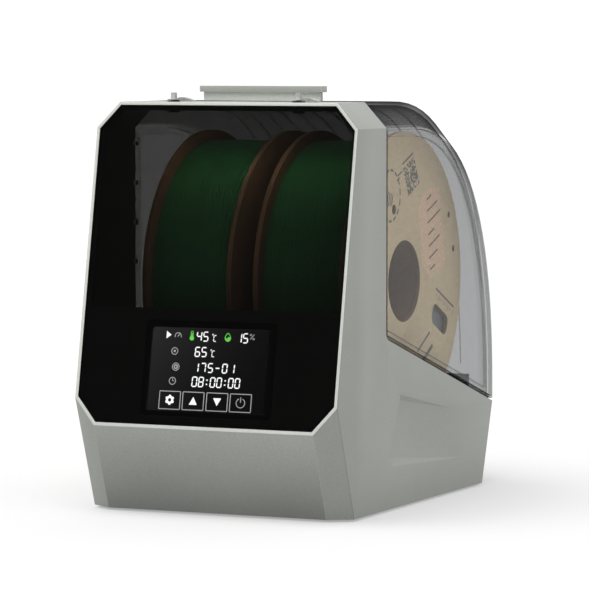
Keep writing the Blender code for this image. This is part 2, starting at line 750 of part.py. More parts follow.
def make_lid():
    hinge_at = (0, *HINGE)
    arch = piece("lid_arch", lid_form(HALF_WIDTH, 0.0, 40), SMOKE, at=hinge_at, smooth=True)
    cut(arch, lid_form(HALF_WIDTH - LID_LEDGE, LID_SKIN, 20, LID_FRONT - 5))
    cut(arch, casing_zone(SEAL / 2 + GAP))
    cut(arch, box((-120, 110, 0), (120, 200, LID_REAR_LOW)))
    recess, through = side_outline(WINDOW_RIM), side_outline(6.0)
    seat = HALF_WIDTH - WINDOW - 2 * GAP
    for side in (-1, 1):
        cut(arch, extruded(recess, side_view, *sorted((side * seat, side * 100))))
        cut(arch, extruded(through, side_view, *sorted((side * 80, side * 100))))
    for side, name in ((-1, "left"), (1, "right")):
        ends = sorted((side * (seat + GAP), side * (seat + GAP + WINDOW)))
        window = extruded(side_outline(WINDOW_RIM + GAP), side_view, *ends)
        piece(f"lid_window_{name}", window, CLEAR, at=hinge_at)
    make_hinge(hinge_at)
    make_handle(hinge_at)


def make_hinge(hinge_at):
    inner_wall = ARC_START + ARC_DEPTH + CHAMFER - LID_SKIN - GAP
    flange_low, flange_high = LID_REAR_LOW + 3.2, 72.0
    flap = box((-70.0, inner_wall - 2.6, flange_low), (70.0, inner_wall, flange_high))
    bar = piece("hinge_bar", flap, BLACK, at=hinge_at, smooth=True)
    spans = [(-KNUCKLE[0] + GAP, KNUCKLE[0] - GAP)]
    for side in (-1, 1):
        spans.append(tuple(sorted((side * (KNUCKLE[1] + GAP), side * HINGE_END))))
    for low, high in spans:
        add(bar, extruded(circle(*HINGE, BARREL, 32), side_view, low, high))
        web = (max(low, -69.9), min(high, 69.9))
        add(bar, box((web[0], HINGE[0] + 0.4, HINGE[1] + 1), (web[1], inner_wall - 0.1, flange_low + 1)))
    for side in (-1, 1):
        ends = sorted((side * (KNUCKLE[0] - 8.0), side * (KNUCKLE[1] + 8.0)))
        cut(bar, extruded(circle(*HINGE, HINGE_PIN + GAP, 20), side_view, *ends))
    for side, name in ((-1, "left"), (1, "right")):
        ends = sorted((side * (KNUCKLE[0] - 7.5), side * (KNUCKLE[1] + 7.5)))
        pin = extruded(circle(*HINGE, HINGE_PIN, 20), side_view, *ends)
        piece(f"hinge_pin_{name}", pin, STEEL, smooth=True)


def make_handle(hinge_at):
    foot = BODY_TOP + GAP
    front, back = HANDLE_FRONT + 1.8, HANDLE_BACK - 1.8
    neck = rounded_rectangle(-HANDLE_HALF_WIDTH, front, HANDLE_HALF_WIDTH, back, 0.8)
    neck = extruded(neck, plan_view, foot, HANDLE_NECK_TOP + 0.5)
    handle = piece("lid_handle", neck, SILVER, at=hinge_at)
    cap = rounded_rectangle(-HANDLE_CAP_HALF_WIDTH, HANDLE_FRONT, HANDLE_CAP_HALF_WIDTH, HANDLE_BACK, 1.6)
    add(handle, extruded(cap, plan_view, HANDLE_NECK_TOP, HANDLE_TOP))


def make_seal():
    line, back = parting_line(SEAL / 2), parting_line(-SEAL / 2)
    strip = extruded(line[:-1] + [on_slope(121.0, SEAL / 2), on_slope(121.0, -SEAL / 2)] + back[:-1][::-1],
                     side_view, -150, 150)
    seal = piece("lid_seal", strip, RUBBER)
    change(seal, "INTERSECT", casing(front=5, sides=1.2, rear=5, low=10))
    cut(seal, casing(front=10, sides=SIDE_WALL - 1.0, rear=10, low=-10))


def on_slope(y, offset):
    tilt = math.atan(PARTING_SLOPE)
    return y, PARTING_REAR[1] + PARTING_SLOPE * (y - PARTING_REAR[0]) + offset / math.cos(tilt)


# ---------------------------------------------------------------- outlets

def make_outlets():
    bore, outer, flange = BUSHING
    ledge = BODY_TOP + GAP
    for side, name in ((-1, "left"), (1, "right")):
        x = side * OUTLET_X
        place = about(plan_view, x, OUTLET_Y)
        profile = [(bore, BODY_TOP - 7), (outer, BODY_TOP - 7), (outer, ledge), (flange, ledge)]
        profile += [(flange, ledge + BUSHING_FLANGE), (bore, ledge + BUSHING_FLANGE)]
        piece(f"outlet_bushing_{name}", turned(profile, place, 24), BLACK, smooth=True)
        base = ledge + BUSHING_FLANGE + GAP
        profile = [(0, BODY_TOP - 6), (bore - 0.8, BODY_TOP - 6), (bore - GAP, BODY_TOP - 5)]
        profile += [(bore - GAP, base), (PLUG_DISC, base), (PLUG_DISC, base + 0.6)]
        profile += [(PLUG_POST, base + 0.9), (PLUG_POST, BODY_TOP + 5.6), (PLUG_POST - 0.4, BODY_TOP + 6.0)]
        profile.append((0, BODY_TOP + 6.0))
        plug = turned(profile, place, 24)
        plug = piece(f"outlet_plug_{name}", plug, SILICONE, at=(x, OUTLET_Y, base), smooth=True)
        leaf = [(3.0, base + 0.05), (5.3, base + 0.05), (5.6, ledge + 0.1), (14.8, ledge + 0.1)]
        leaf += [(14.9, ledge + 0.5), (13.2, ledge + 1.1), (10.8, ledge + 1.9), (8.4, ledge + 2.5)]
        leaf += [(6.6, ledge + 2.7), (5.0, ledge + 2.6), (3.8, ledge + 2.1), (3.0, ledge + 1.5)]
        leaf = [(x + u, z) for u, z in leaf]
        add(plug, extruded(leaf, front_view, OUTLET_Y - 2.4, OUTLET_Y + 2.4))


# ---------------------------------------------------------------- electrics

def inlet_span(grow=0.0):
    return INLET_T - INLET_HALF[1] - grow, INLET_T + INLET_HALF[1] + grow


def switch_span(grow=0.0):
    return SWITCH_T - SWITCH_HALF[1] - grow, SWITCH_T + SWITCH_HALF[1] + grow


def make_power_inlet():
    plate = rounded_rectangle(INLET_X - 15.6, INLET_T - 12, INLET_X + 15.6, INLET_T + 12, 2)
    inlet = piece("power_inlet", extruded(plate, on_rear, GAP, 2.0), BLACK)
    add(inlet, extruded(rectangle(INLET_HALF[0], *inlet_span(), INLET_X), on_rear, -16, 1))
    socket = rectangle(12.0, INLET_T - 8, INLET_T + 8, INLET_X)
    cut(inlet, extruded(socket, on_rear, -13.5, 3))
    pins = []
    for x, t in ((-7.0, -2.0), (0.0, 2.0), (7.0, -2.0)):
        blade = rectangle(1.0, INLET_T + t - 2.2, INLET_T + t + 2.2, INLET_X + x)
        pins.append(extruded(blade, on_rear, -14.5, -5.5))
    add(inlet, together(*pins))


def make_switch():
    plate = rounded_rectangle(SWITCH_X - 7.6, SWITCH_T - 10.6, SWITCH_X + 7.6, SWITCH_T + 10.6, 1.5)
    housing = piece("switch_housing", extruded(plate, on_rear, GAP, 1.8), BLACK)
    add(housing, extruded(rectangle(SWITCH_HALF[0], *switch_span(), SWITCH_X), on_rear, -9, 1))
    well = rectangle(5.4, SWITCH_T - 8.6, SWITCH_T + 8.6, SWITCH_X)
    cut(housing, extruded(well, on_rear, -7, 3))
    tilt = math.radians(ROCKER_TILT)
    axis = on_rear(SWITCH_X, SWITCH_T, -0.6)

    def rocking(u, w, v):
        out, up = w * math.cos(tilt) - u * math.sin(tilt), u * math.cos(tilt) + w * math.sin(tilt)
        return on_rear(SWITCH_X + v, SWITCH_T + up, -0.6 + out)

    top = [(-7.6, 2.0), (-4.0, 1.3), (0.0, 1.0), (4.0, 1.3), (7.6, 2.0)]
    underside = [(7.2, -1.5), (3.0, -3.6), (-3.0, -3.6), (-7.2, -1.5)]
    rocker = extruded(top + underside, rocking, -5.0, 5.0)
    piece("switch_rocker", rocker, BLACK, at=tuple(axis))


def make_boards():
    board = piece("main_board", box((-86, -58, 8), (-42, 42, 9.6)), CIRCUIT)
    parts = [
        box((-82, -52, 9), (-62, -36, 14)),
        box((-56, -52, 9), (-46, -30, 18)),
        box((-80, -24, 9), (-66, -10, 12)),
        box((-58, -20, 9), (-46, 4, 22)),
        box((-82, 2, 9), (-68, 12, 24)),
        box((-82, 22, 9), (-50, 34, 17)),
    ]
    for part in parts:
        add(board, part)
    supply = piece("power_module", box((43, 4, 6), (84, 84, 7.6)), CIRCUIT)
    parts = [
        box((48, 12, 7), (70, 32, 27)),
        box((74, 10, 7), (82, 40, 22)),
        box((46, 42, 7), (58, 60, 24)),
        extruded(circle(72, 54, 8, 20), plan_view, 7, 32),
        box((46, 68, 7), (80, 78, 17)),
    ]
    for part in parts:
        add(supply, part)
    sensor = piece("humidity_sensor", box((-72, -112, DECK_TOP + GAP), (-56, -104, DECK_TOP + 13)), BLACK)
    slots = [box((-70.5 + 4 * i, -113, 45), (-68.7 + 4 * i, -106, 52)) for i in range(4)]
    cut(sensor, together(*slots))


def make_air_path():
    low, high = DUCT
    duct = piece("heater_duct", box(low, high), BLACK)
    cut(duct, box((low[0] + 1.5, low[1] + 1.5, low[2] + 1.5), (high[0] - 1.5, high[1] - 1.5, high[2] + 5)))
    low, high = HEATER
    heater = piece("heater_core", box(low, high), ALLOY)
    slots = [
        box((left, low[1] - 1, low[2] + 3), (left + 4.4, high[1] + 1, high[2] - 3))
        for left in [low[0] + 3 + 7.6 * i for i in range(8)]
    ]
    cut(heater, together(*slots))
    width, fan_low, fan_high = FAN
    x, y = FAN_CENTRE
    half = width / 2
    square = rounded_rectangle(x - half, y - half, x + half, y + half, 4)
    frame = piece("fan_frame", extruded(square, plan_view, fan_low, fan_high), BLACK)
    cut(frame, extruded(circle(x, y, half - 1.6, 40), plan_view, fan_low - 1, fan_high + 1))
    spider = [extruded(circle(x, y, 11.0, 24), plan_view, fan_low, fan_low + 2.5)]
    for i in range(3):
        angle = math.radians(90 + 120 * i)
        along = Vector((math.cos(angle), math.sin(angle)))
        across = Vector((-along.y, along.x))
        corners = [(9, -1.6), (half - 0.9, -1.6), (half - 0.9, 1.6), (9, 1.6)]
        outline = [tuple(Vector((x, y)) + along * u + across * v) for u, v in corners]
        spider.append(extruded(outline, plan_view, fan_low + 0.01, fan_low + 2.4))
    for arm in spider:
        add(frame, arm)
    make_fan_rotor(x, y, half - 3.0, fan_low + 3.0, fan_high - 0.6)


def make_fan_rotor(x, y, reach, low, high):
    hub = 11.5
    profile = [(0, low), (hub, low), (hub, high - 1), (hub - 1, high), (0, high)]
    drum = turned(profile, about(plan_view, x, y), 24)
    rotor = piece("fan_rotor", drum, BLACK, at=(x, y, low), smooth=True)
    blades = []
    count = 7
    for i in range(count):
        angle = 2 * math.pi * i / count
        points = []
        for radius, half_sweep in ((hub - 1.0, 0.20), (reach, 0.24)):
            for sweep, z in ((-half_sweep, low + 1.5), (half_sweep, high - 1.5)):
                for thick in (-0.6, 0.6):
                    turn = angle + sweep + thick / radius
                    points.append((x + radius * math.cos(turn), y + radius * math.sin(turn), z))
        blades.append(hull(points))
    add(rotor, together(*blades))


make_housing()
make_front()
make_base()
make_deck()
make_rollers()
make_spool(-1, "left")
make_spool(1, "right")
make_lid()
make_seal()
make_outlets()
make_power_inlet()
make_switch()
make_boards()
make_air_path()
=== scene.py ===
"""Looks of the filament dryer box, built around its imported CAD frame.

Design values are in millimetres, measured up from the underside of the casing, which stands on feet.
+X is to the right seen from the front, +Y to the back and +Z up.
"""

import json
import math
import random

import bmesh
import bpy
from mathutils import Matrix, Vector

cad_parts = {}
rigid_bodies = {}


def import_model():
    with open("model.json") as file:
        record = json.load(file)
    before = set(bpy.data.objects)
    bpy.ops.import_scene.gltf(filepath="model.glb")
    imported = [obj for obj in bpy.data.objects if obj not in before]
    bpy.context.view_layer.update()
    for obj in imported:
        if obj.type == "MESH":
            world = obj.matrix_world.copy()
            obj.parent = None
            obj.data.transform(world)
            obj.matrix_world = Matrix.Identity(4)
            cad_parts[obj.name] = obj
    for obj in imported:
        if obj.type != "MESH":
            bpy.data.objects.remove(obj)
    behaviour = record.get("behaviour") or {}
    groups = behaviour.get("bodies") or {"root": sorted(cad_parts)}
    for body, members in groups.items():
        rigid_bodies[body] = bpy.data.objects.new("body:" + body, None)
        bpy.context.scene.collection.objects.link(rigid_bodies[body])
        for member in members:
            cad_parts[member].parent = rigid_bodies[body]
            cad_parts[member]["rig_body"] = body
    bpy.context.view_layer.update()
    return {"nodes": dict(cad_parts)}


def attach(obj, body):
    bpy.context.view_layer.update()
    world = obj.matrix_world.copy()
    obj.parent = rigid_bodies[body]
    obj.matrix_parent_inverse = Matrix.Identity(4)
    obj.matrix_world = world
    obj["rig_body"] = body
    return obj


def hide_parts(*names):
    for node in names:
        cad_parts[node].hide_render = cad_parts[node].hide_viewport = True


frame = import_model()
NODES = frame["nodes"]

MM = 0.001
FEET = 1.5  # height of the casing's underside above the floor

# The casing's leaning front and sloping rear, as (y, z) points
FRONT_LOW, FRONT_HIGH = (-142.7, 55.9), (-104.0, 264.6)
REAR_LOW, REAR_HIGH = (123.5, 0.0), (142.7, 56.8)

# Display: depth of its glass behind the front, and its outline in the plane of the front
DISPLAY_FACE = -3.15
DISPLAY_HALF_WIDTH = 42.1
DISPLAY_LOW, DISPLAY_HIGH = 11.6, 65.9
GLOW = (DISPLAY_FACE + 0.02, DISPLAY_FACE + 0.10)  # depths of the lit signs
LEAN, STROKE, SEGMENT_GAP = 0.06, 0.78, 0.09  # slant, line width and gap of the display's figures

# Lid shoulder: straight at the front, then a quarter of a superellipse
LID_FRONT = -60.8
ARC_START, ARC_DEPTH = -21.6, 147.6
ARC_LOW, ARC_HEIGHT = 56.8, 191.1
ARC_POWER = 2.45
ARC_STEPS = 22
CHAMFER = 16.7
LID_SKIN = 2.5
RIB_PITCH, RIB_WIDTH, RIB_HEIGHT = 12.7, 0.9, 0.8

# Mains inlet and switch, in the plane of the rear
INLET_X, INLET_T = 52.0, 22.5
SWITCH_X, SWITCH_T = 14.0, 22.5
ROCKER_TILT = 9.0
ROCKER_AXIS_DEPTH = -0.6

# Spools
SPOOL_Y, SPOOL_Z = 16.6, 144.1
SPOOL_INNER, SPOOL_OUTER, FLANGE = 7.8, 72.8, 3.6
WOUND_RADIUS, STRAND = 93.2, 1.75
WOUND_CORE = 31.3
COIL_STEPS = 96
RIDGE_ANGLES = (170, 145, 115, 90, 65, 35, 10)  # points round one strand's ridge, in degrees

# Printed marks on a spool, in the plane of its outer face
SQUARES = 15
SQUARES_CORNER = Vector((-2.7, 75.0))
SQUARES_ALONG, SQUARES_UP = Vector((9.6, -18.5)), Vector((18.4, 8.1))
PRINTED_BARS = (
    ((-4.3, 78.1), (14.7, 85.3), 1.3),
    ((-12.0, 70.5), (-4.5, 73.5), 1.1),
    ((-13.5, 67.5), (-8.0, 69.5), 1.0),
    ((44.6, -37.0), (21.9, -49.2), 1.6),
    ((49.5, -46.2), (31.0, -56.5), 3.0),
    ((20.0, -58.0), (12.0, -63.0), 2.0),
    ((54.9, -8.0), (87.1, -23.0), 1.4),
)
LABEL_OUTLINE = [(22.9, 48.7), (37.4, 60.7), (60.4, 61.2), (72.4, 7.4), (44.3, -1.1), (31.0, 10.0)]
LABEL_LINES = (9, 19, 24, 12, 21, 16, 10)

# Looks shared by several pieces
SILVER_COLOUR = (0.282, 0.292, 0.270)
BACKDROP, ROOM = 1.05, 0.22  # brightness behind and above the object, and in front of it

WORK = bpy.context.scene.collection


# ---------------------------------------------------------------- shapes

def slope(low, high):
    """Place function of a plane through two (y, z) points: u is x, v goes up the plane, w goes outwards."""
    up = Vector((0, high[0] - low[0], high[1] - low[1])).normalized()
    out = Vector((0, -up.z, up.y)) if low[0] < 0 else Vector((0, up.z, -up.y))
    base = Vector((0, low[0], low[1]))

    def place(u, v, w):
        return base + Vector((u, 0, 0)) + up * v + out * w

    return place


on_front = slope(FRONT_LOW, FRONT_HIGH)
on_rear = slope(REAR_LOW, REAR_HIGH)


def on_spool(x_outer, side):
    """Place function of a spool's outer face: u to the back, v up, w out of the face."""

    def place(u, v, w):
        return Vector((side * (x_outer + w), SPOOL_Y + u, SPOOL_Z + v))

    return place


def extruded(bm, outline, place, near, far):
    """Adds a closed prism of an outline of (u, v) points to a mesh."""
    rings = [[bm.verts.new(place(u, v, w)) for u, v in outline] for w in (near, far)]
    bm.faces.new(rings[0])
    bm.faces.new(rings[1])
    count = len(outline)
    for i in range(count):
        j = (i + 1) % count
        bm.faces.new((rings[0][i], rings[0][j], rings[1][j], rings[1][i]))


def band(bm, outer, inner, place, near, far):
    """Adds a closed flat frame between two outlines with the same number of points."""
    count = len(outer)
    loops = []
    for outline in (outer, inner):
        loops.append([[bm.verts.new(place(u, v, w)) for u, v in outline] for w in (near, far)])
    (outer_near, outer_far), (inner_near, inner_far) = loops
    for i in range(count):
        j = (i + 1) % count
        bm.faces.new((outer_near[i], outer_near[j], outer_far[j], outer_far[i]))
        bm.faces.new((inner_near[i], inner_near[j], inner_far[j], inner_far[i]))
        bm.faces.new((outer_near[i], outer_near[j], inner_near[j], inner_near[i]))
        bm.faces.new((outer_far[i], outer_far[j], inner_far[j], inner_far[i]))


def rectangle(left, low, right, high):
    return [(left, low), (right, low), (right, high), (left, high)]


def circle(cu, cv, radius, steps=24, start=0.0, end=360.0):
    full = abs(end - start) >= 360
    count = steps if full else steps + 1
    points = []
    for i in range(count):
        angle = math.radians(start + (end - start) * i / steps)
        points.append((cu + radius * math.cos(angle), cv + radius * math.sin(angle)))
    return points


def rounded(left, low, right, high, radius, steps=4):
    points = []
    for cx, cy, start in (
        (right - radius, low + radius, -90),
        (right - radius, high - radius, 0),
        (left + radius, high - radius, 90),
        (left + radius, low + radius, 180),
    ):
        points += circle(cx, cy, radius, steps, start, start + 90)
    return points


def turned(bm, profile, place, steps):
    """Adds a closed (radius, w) profile turned about the w axis."""
    rings = []
    for i in range(steps):
        angle = 2 * math.pi * i / steps
        rings.append([bm.verts.new(place(r * math.cos(angle), r * math.sin(angle), w)) for r, w in profile])
    for i in range(steps):
        here, there = rings[i], rings[(i + 1) % steps]
        for k in range(len(profile)):
            n = (k + 1) % len(profile)
            bm.faces.new((here[k], here[n], there[n], there[k]))


# ---------------------------------------------------------------- pieces

def finished(obj, material, body, smooth=30.0):
    obj.data.materials.clear()
    obj.data.materials.append(material)
    obj.data.shade_smooth()
    obj.data.set_sharp_from_angle(angle=math.radians(smooth))
    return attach(obj, body)


def piece(name, bm, material, body, smooth=30.0):
    """A new piece, from a mesh in design millimetres."""
    bmesh.ops.recalc_face_normals(bm, faces=bm.faces[:])
    bmesh.ops.translate(bm, vec=Vector((0, 0, FEET)), verts=bm.verts[:])
    bmesh.ops.scale(bm, vec=(MM, MM, MM), verts=bm.verts[:])
    mesh = bpy.data.meshes.new(name)
    bm.to_mesh(mesh)
    bm.free()
    obj = bpy.data.objects.new(name, mesh)
    WORK.objects.link(obj)
    finished(obj, material, body, smooth)
    return obj


def body_of(node):
    return NODES[node]["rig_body"]


def softened(name, node, material, width=0.35, segments=2, angle=20.0, smooth=30.0):
    """A copy of a CAD node with its flat faces merged and its edges rounded, in the node's place."""
    bm = bmesh.new()
    bm.from_mesh(NODES[node].data)
    painted_edge_highlight = bm.faces.layers.float.new("painted_edge_highlight")
    bmesh.ops.remove_doubles(bm, verts=bm.verts[:], dist=2e-6)
    bmesh.ops.dissolve_limit(bm, angle_limit=math.radians(0.6), verts=bm.verts[:], edges=bm.edges[:])
    edges = [e for e in bm.edges if e.is_manifold and e.calc_face_angle(0.0) > math.radians(angle)]
    edges = [e for e in edges if e.calc_length() > 4 * width * MM]
    rounds = bmesh.ops.bevel(
        bm, geom=edges, offset=width * MM, segments=segments, profile=0.5, affect="EDGES", clamp_overlap=True
    )
    # Painted highlight: the rounded faces are marked so that the silver paints them brighter.
    for face in rounds["faces"]:
        face[painted_edge_highlight] = 1.0
    mesh = bpy.data.meshes.new(name)
    bm.to_mesh(mesh)
    bm.free()
    obj = bpy.data.objects.new(name, mesh)
    WORK.objects.link(obj)
    finished(obj, material, body_of(node), smooth)
    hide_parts(node)
    return obj


# ---------------------------------------------------------------- materials

class Nodes:
    """A material's node tree, with short calls for the nodes used here."""

    def __init__(self, name):
        self.material = bpy.data.materials.new(name)
        self.material.use_nodes = True
        self.tree = self.material.node_tree
        self.tree.nodes.clear()
        self.output = self.add("ShaderNodeOutputMaterial")
        self.position = self.add("ShaderNodeTexCoord").outputs["Object"]

    def add(self, kind, **values):
        node = self.tree.nodes.new(kind)
        for key, value in values.items():
            setattr(node, key, value)
        return node

    def link(self, source, target):
        self.tree.links.new(source, target)

    def noise(self, scale, detail=2.0, rough=0.5, stretch=None):
        node = self.add("ShaderNodeTexNoise")
        node.inputs["Scale"].default_value = scale
        node.inputs["Detail"].default_value = detail
        node.inputs["Roughness"].default_value = rough
        vector = self.position
        if stretch:
            mapping = self.add("ShaderNodeMapping")
            mapping.inputs["Scale"].default_value = stretch
            self.link(self.position, mapping.inputs["Vector"])
            vector = mapping.outputs["Vector"]
        self.link(vector, node.inputs["Vector"])
        return node.outputs["Fac"]

    def ramp(self, value, *stops):
        node = self.add("ShaderNodeValToRGB")
        elements = node.color_ramp.elements
        while len(elements) < len(stops):
            elements.new(0.5)
        for element, (at, colour) in zip(elements, stops):
            element.position = at
            element.color = (*colour, 1.0) if len(colour) == 3 else colour
        self.link(value, node.inputs["Fac"])
        return node.outputs["Color"]

    def spread(self, value, low, high, from_low=0.0, from_high=1.0):
        node = self.add("ShaderNodeMapRange")
        ends = {"From Min": from_low, "From Max": from_high, "To Min": low, "To Max": high}
        for key, number in ends.items():
            node.inputs[key].default_value = number
        self.link(value, node.inputs["Value"])
        return node.outputs["Result"]

    def maths(self, operation, a, b=0.0, c=None):
        node = self.add("ShaderNodeMath", operation=operation)
        for socket, value in zip(node.inputs, (a, b) if c is None else (a, b, c)):
            if isinstance(value, (int, float)):
                socket.default_value = value
            else:
                self.link(value, socket)
        return node.outputs["Value"]

    def mix(self, factor, a, b):
        node = self.add("ShaderNodeMix", data_type="RGBA")
        for socket, value in ((node.inputs[0], factor), (node.inputs[6], a), (node.inputs[7], b)):
            if isinstance(value, (int, float)):
                socket.default_value = value
            elif isinstance(value, tuple):
                socket.default_value = (*value, 1.0)
            else:
                self.link(value, socket)
        return node.outputs[2]

    def times(self, a, b):
        node = self.add("ShaderNodeMix", data_type="RGBA", blend_type="MULTIPLY")
        node.inputs[0].default_value = 1.0
        self.link(a, node.inputs[6])
        self.link(b, node.inputs[7])
        return node.outputs[2]

    def bump(self, height, strength, distance_mm):
        node = self.add("ShaderNodeBump")
        node.inputs["Strength"].default_value = strength
        node.inputs["Distance"].default_value = distance_mm * MM
        self.link(height, node.inputs["Height"])
        return node.outputs["Normal"]

    def axis(self, name):
        node = self.add("ShaderNodeSeparateXYZ")
        self.link(self.position, node.inputs["Vector"])
        return node.outputs[name]

    def principled(self, colour, roughness, normal=None, **values):
        shader = self.add("ShaderNodeBsdfPrincipled")
        for key, value in (("Base Color", colour), ("Roughness", roughness), ("Normal", normal)):
            if value is None:
                continue
            if isinstance(value, (int, float)):
                shader.inputs[key].default_value = value
            elif isinstance(value, tuple):
                shader.inputs[key].default_value = (*value, 1.0)
            else:
                self.link(value, shader.inputs[key])
        for key, value in values.items():
            shader.inputs[key.replace("_", " ")].default_value = value
        return shader.outputs["BSDF"]

    def done(self, shader):
        self.link(shader, self.output.inputs["Surface"])
        return self.material


def scaled(colour, factor):
    return tuple(min(1.0, c * factor) for c in colour)


def silver_plastic(name, base):
    """(nodes, colour) of the silver moulding compound: fine flakes, faint clouds and a painted highlight on
    rounded edges.
    """
    n = Nodes(name)
    flakes = n.ramp(n.noise(1900, 1.0), (0.30, scaled(base, 0.90)), (0.5, base), (0.72, scaled(base, 1.14)))
    cloud = n.ramp(n.noise(14, 3.0), (0.3, (0.95, 0.95, 0.95)), (0.7, (1.03, 1.03, 1.03)))
    painted_edge_highlight = n.add("ShaderNodeAttribute", attribute_name="painted_edge_highlight").outputs["Fac"]
    # Painted highlight: marked rounded edges get a silver 1.45 times brighter.
    tone = n.mix(n.maths("MULTIPLY", painted_edge_highlight, 0.8), n.times(flakes, cloud), scaled(base, 1.45))
    return n, tone


def silver_finish(n, tone):
    roughness = n.spread(n.noise(900, 2.0), 0.40, 0.56)
    normal = n.bump(n.noise(1500, 2.0), 0.22, 0.05)
    return n.done(n.principled(tone, roughness, normal, Metallic=0.12))


def casing_silver():
    """The casing's silver: black on faces that look inwards; on the front faces, painted shade at the bottom
    of the sloping lower front that lightens with height, and a painted highlight on the faces that lean back
    round the panel.
    """
    n, tone = silver_plastic("silver_casing", SILVER_COLOUR)
    normal = n.add("ShaderNodeNewGeometry").outputs["True Normal"]
    split = n.add("ShaderNodeSeparateXYZ")
    n.link(normal, split.inputs["Vector"])
    # Painted light on the front faces: shade at the bottom, lighter higher up, and a highlight where the
    # faces lean back.
    frontal = n.spread(split.outputs["Y"], 1.0, 0.0, -0.90, -0.80)
    painted_light_by_height = n.spread(n.axis("Z"), 0.70, 1.16, 0.006, 0.056)
    painted_rim_highlight = n.spread(split.outputs["Z"], 0.0, 0.75, 0.05, 0.15)
    lift = n.maths("ADD", painted_light_by_height, painted_rim_highlight)
    shade = n.maths("MULTIPLY_ADD", frontal, n.maths("SUBTRACT", lift, 1.0), 1.0)
    tone = n.times(tone, shade)
    outwards = n.add("ShaderNodeVectorMath", operation="SUBTRACT")
    n.link(n.position, outwards.inputs[0])
    outwards.inputs[1].default_value = (0, 0, 0.14)
    product = n.add("ShaderNodeVectorMath", operation="DOT_PRODUCT")
    n.link(outwards.outputs["Vector"], product.inputs[0])
    n.link(normal, product.inputs[1])
    inside = n.maths("LESS_THAN", product.outputs["Value"], -0.01)
    return silver_finish(n, n.mix(inside, tone, (0.010, 0.010, 0.010)))


def handle_painted_light_silver():
    # Painted light: the handle is the casing's silver painted 1.6 times brighter, for the light it catches.
    n, tone = silver_plastic("silver_handle_painted_light", scaled(SILVER_COLOUR, 1.6))
    return silver_finish(n, tone)


def moulded(name, colour, roughness=0.5, grain=1400, strength=0.25):
    """Textured moulded plastic."""
    n = Nodes(name)
    tone = n.ramp(n.noise(grain / 3, 3.0), (0.3, scaled(colour, 0.82)), (0.7, scaled(colour, 1.2)))
    rough = n.spread(n.noise(60, 3.0), roughness - 0.07, roughness + 0.08)
    return n.done(n.principled(tone, rough, n.bump(n.noise(grain, 2.0), strength, 0.06)))


def rubber(name, colour, roughness=0.8):
    n = Nodes(name)
    tone = n.ramp(n.noise(240, 4.0), (0.3, scaled(colour, 0.8)), (0.75, scaled(colour, 1.35)))
    rough = n.spread(n.noise(35, 3.0), roughness - 0.1, roughness + 0.08)
    return n.done(n.principled(tone, rough, n.bump(n.noise(900, 3.0), 0.3, 0.08)))


def steel(name="bright_steel"):
    n = Nodes(name)
    streaks = n.noise(700, 3.0, stretch=(0.08, 1.0, 1.0))
    tone = n.ramp(streaks, (0.3, (0.40, 0.40, 0.41)), (0.7, (0.62, 0.62, 0.63)))
    rough = n.spread(streaks, 0.22, 0.38)
    return n.done(n.principled(tone, rough, n.bump(streaks, 0.15, 0.02), Metallic=1.0))


def cardboard(name, base, core):
    """Kraft board; away from the spool's two printed ends, a dark brown that is partly the colour of the
    board's cut core and partly painted shade.
    """
    n = Nodes(name)
    fibre = n.noise(420, 5.0, 0.65, stretch=(1.0, 0.35, 1.0))
    tone = n.ramp(fibre, (0.25, scaled(base, 0.84)), (0.5, base), (0.8, scaled(base, 1.12)))
    cloud = n.noise(22, 3.0)
    tone = n.mix(n.spread(cloud, 0.0, 0.35), tone, scaled(base, 0.86))
    flecks = n.ramp(n.noise(1300, 2.0), (0.70, (0, 0, 0)), (0.78, (1, 1, 1)))
    tone = n.mix(n.maths("MULTIPLY", flecks, 0.35), tone, scaled(base, 0.5))
    reach = n.maths("ABSOLUTE", n.maths("MULTIPLY", n.axis("X"), 1 / MM))
    # Painted shade, together with the board's own darker core colour: every face but the printed ends takes
    # the dark brown.
    inner = n.maths("LESS_THAN", reach, SPOOL_OUTER - 0.25)
    brown = n.ramp(fibre, (0.25, scaled(core, 0.75)), (0.8, scaled(core, 1.25)))
    tone = n.mix(inner, tone, brown)
    return n.done(n.principled(tone, n.spread(fibre, 0.82, 0.95), n.bump(fibre, 0.35, 0.12)))


def filament_plastic():
    """Green on the strands with painted shade in the hollows between turns, and greyer on the flat ends of
    the coil.
    """
    n = Nodes("green_filament")
    tone = n.ramp(n.noise(60, 3.0), (0.3, (0.030, 0.160, 0.042)), (0.7, (0.040, 0.200, 0.054)))
    normal = n.add("ShaderNodeNewGeometry").outputs["True Normal"]
    split = n.add("ShaderNodeSeparateXYZ")
    n.link(normal, split.inputs["Vector"])
    end = n.maths("GREATER_THAN", n.maths("ABSOLUTE", split.outputs["X"]), 0.98)
    across = n.maths("ADD", n.axis("Y"), -SPOOL_Y * MM)
    rise = n.maths("ADD", n.axis("Z"), -(SPOOL_Z + FEET) * MM)
    radius = n.maths("SQRT", n.maths("ADD", n.maths("POWER", across, 2.0), n.maths("POWER", rise, 2.0)))
    # Painted shade: darker green in the hollows between the turns.
    painted_turn_shade = n.spread(radius, 0.0, 1.0, (WOUND_RADIUS - 0.75) * MM, (WOUND_RADIUS - 0.05) * MM)
    tone = n.mix(painted_turn_shade, (0.008, 0.035, 0.010), tone)
    tone = n.mix(end, tone, (0.13, 0.135, 0.13))
    rough = n.spread(n.noise(500, 2.0), 0.30, 0.44)
    return n.done(n.principled(tone, rough, n.bump(n.noise(1200, 2.0), 0.1, 0.03)))


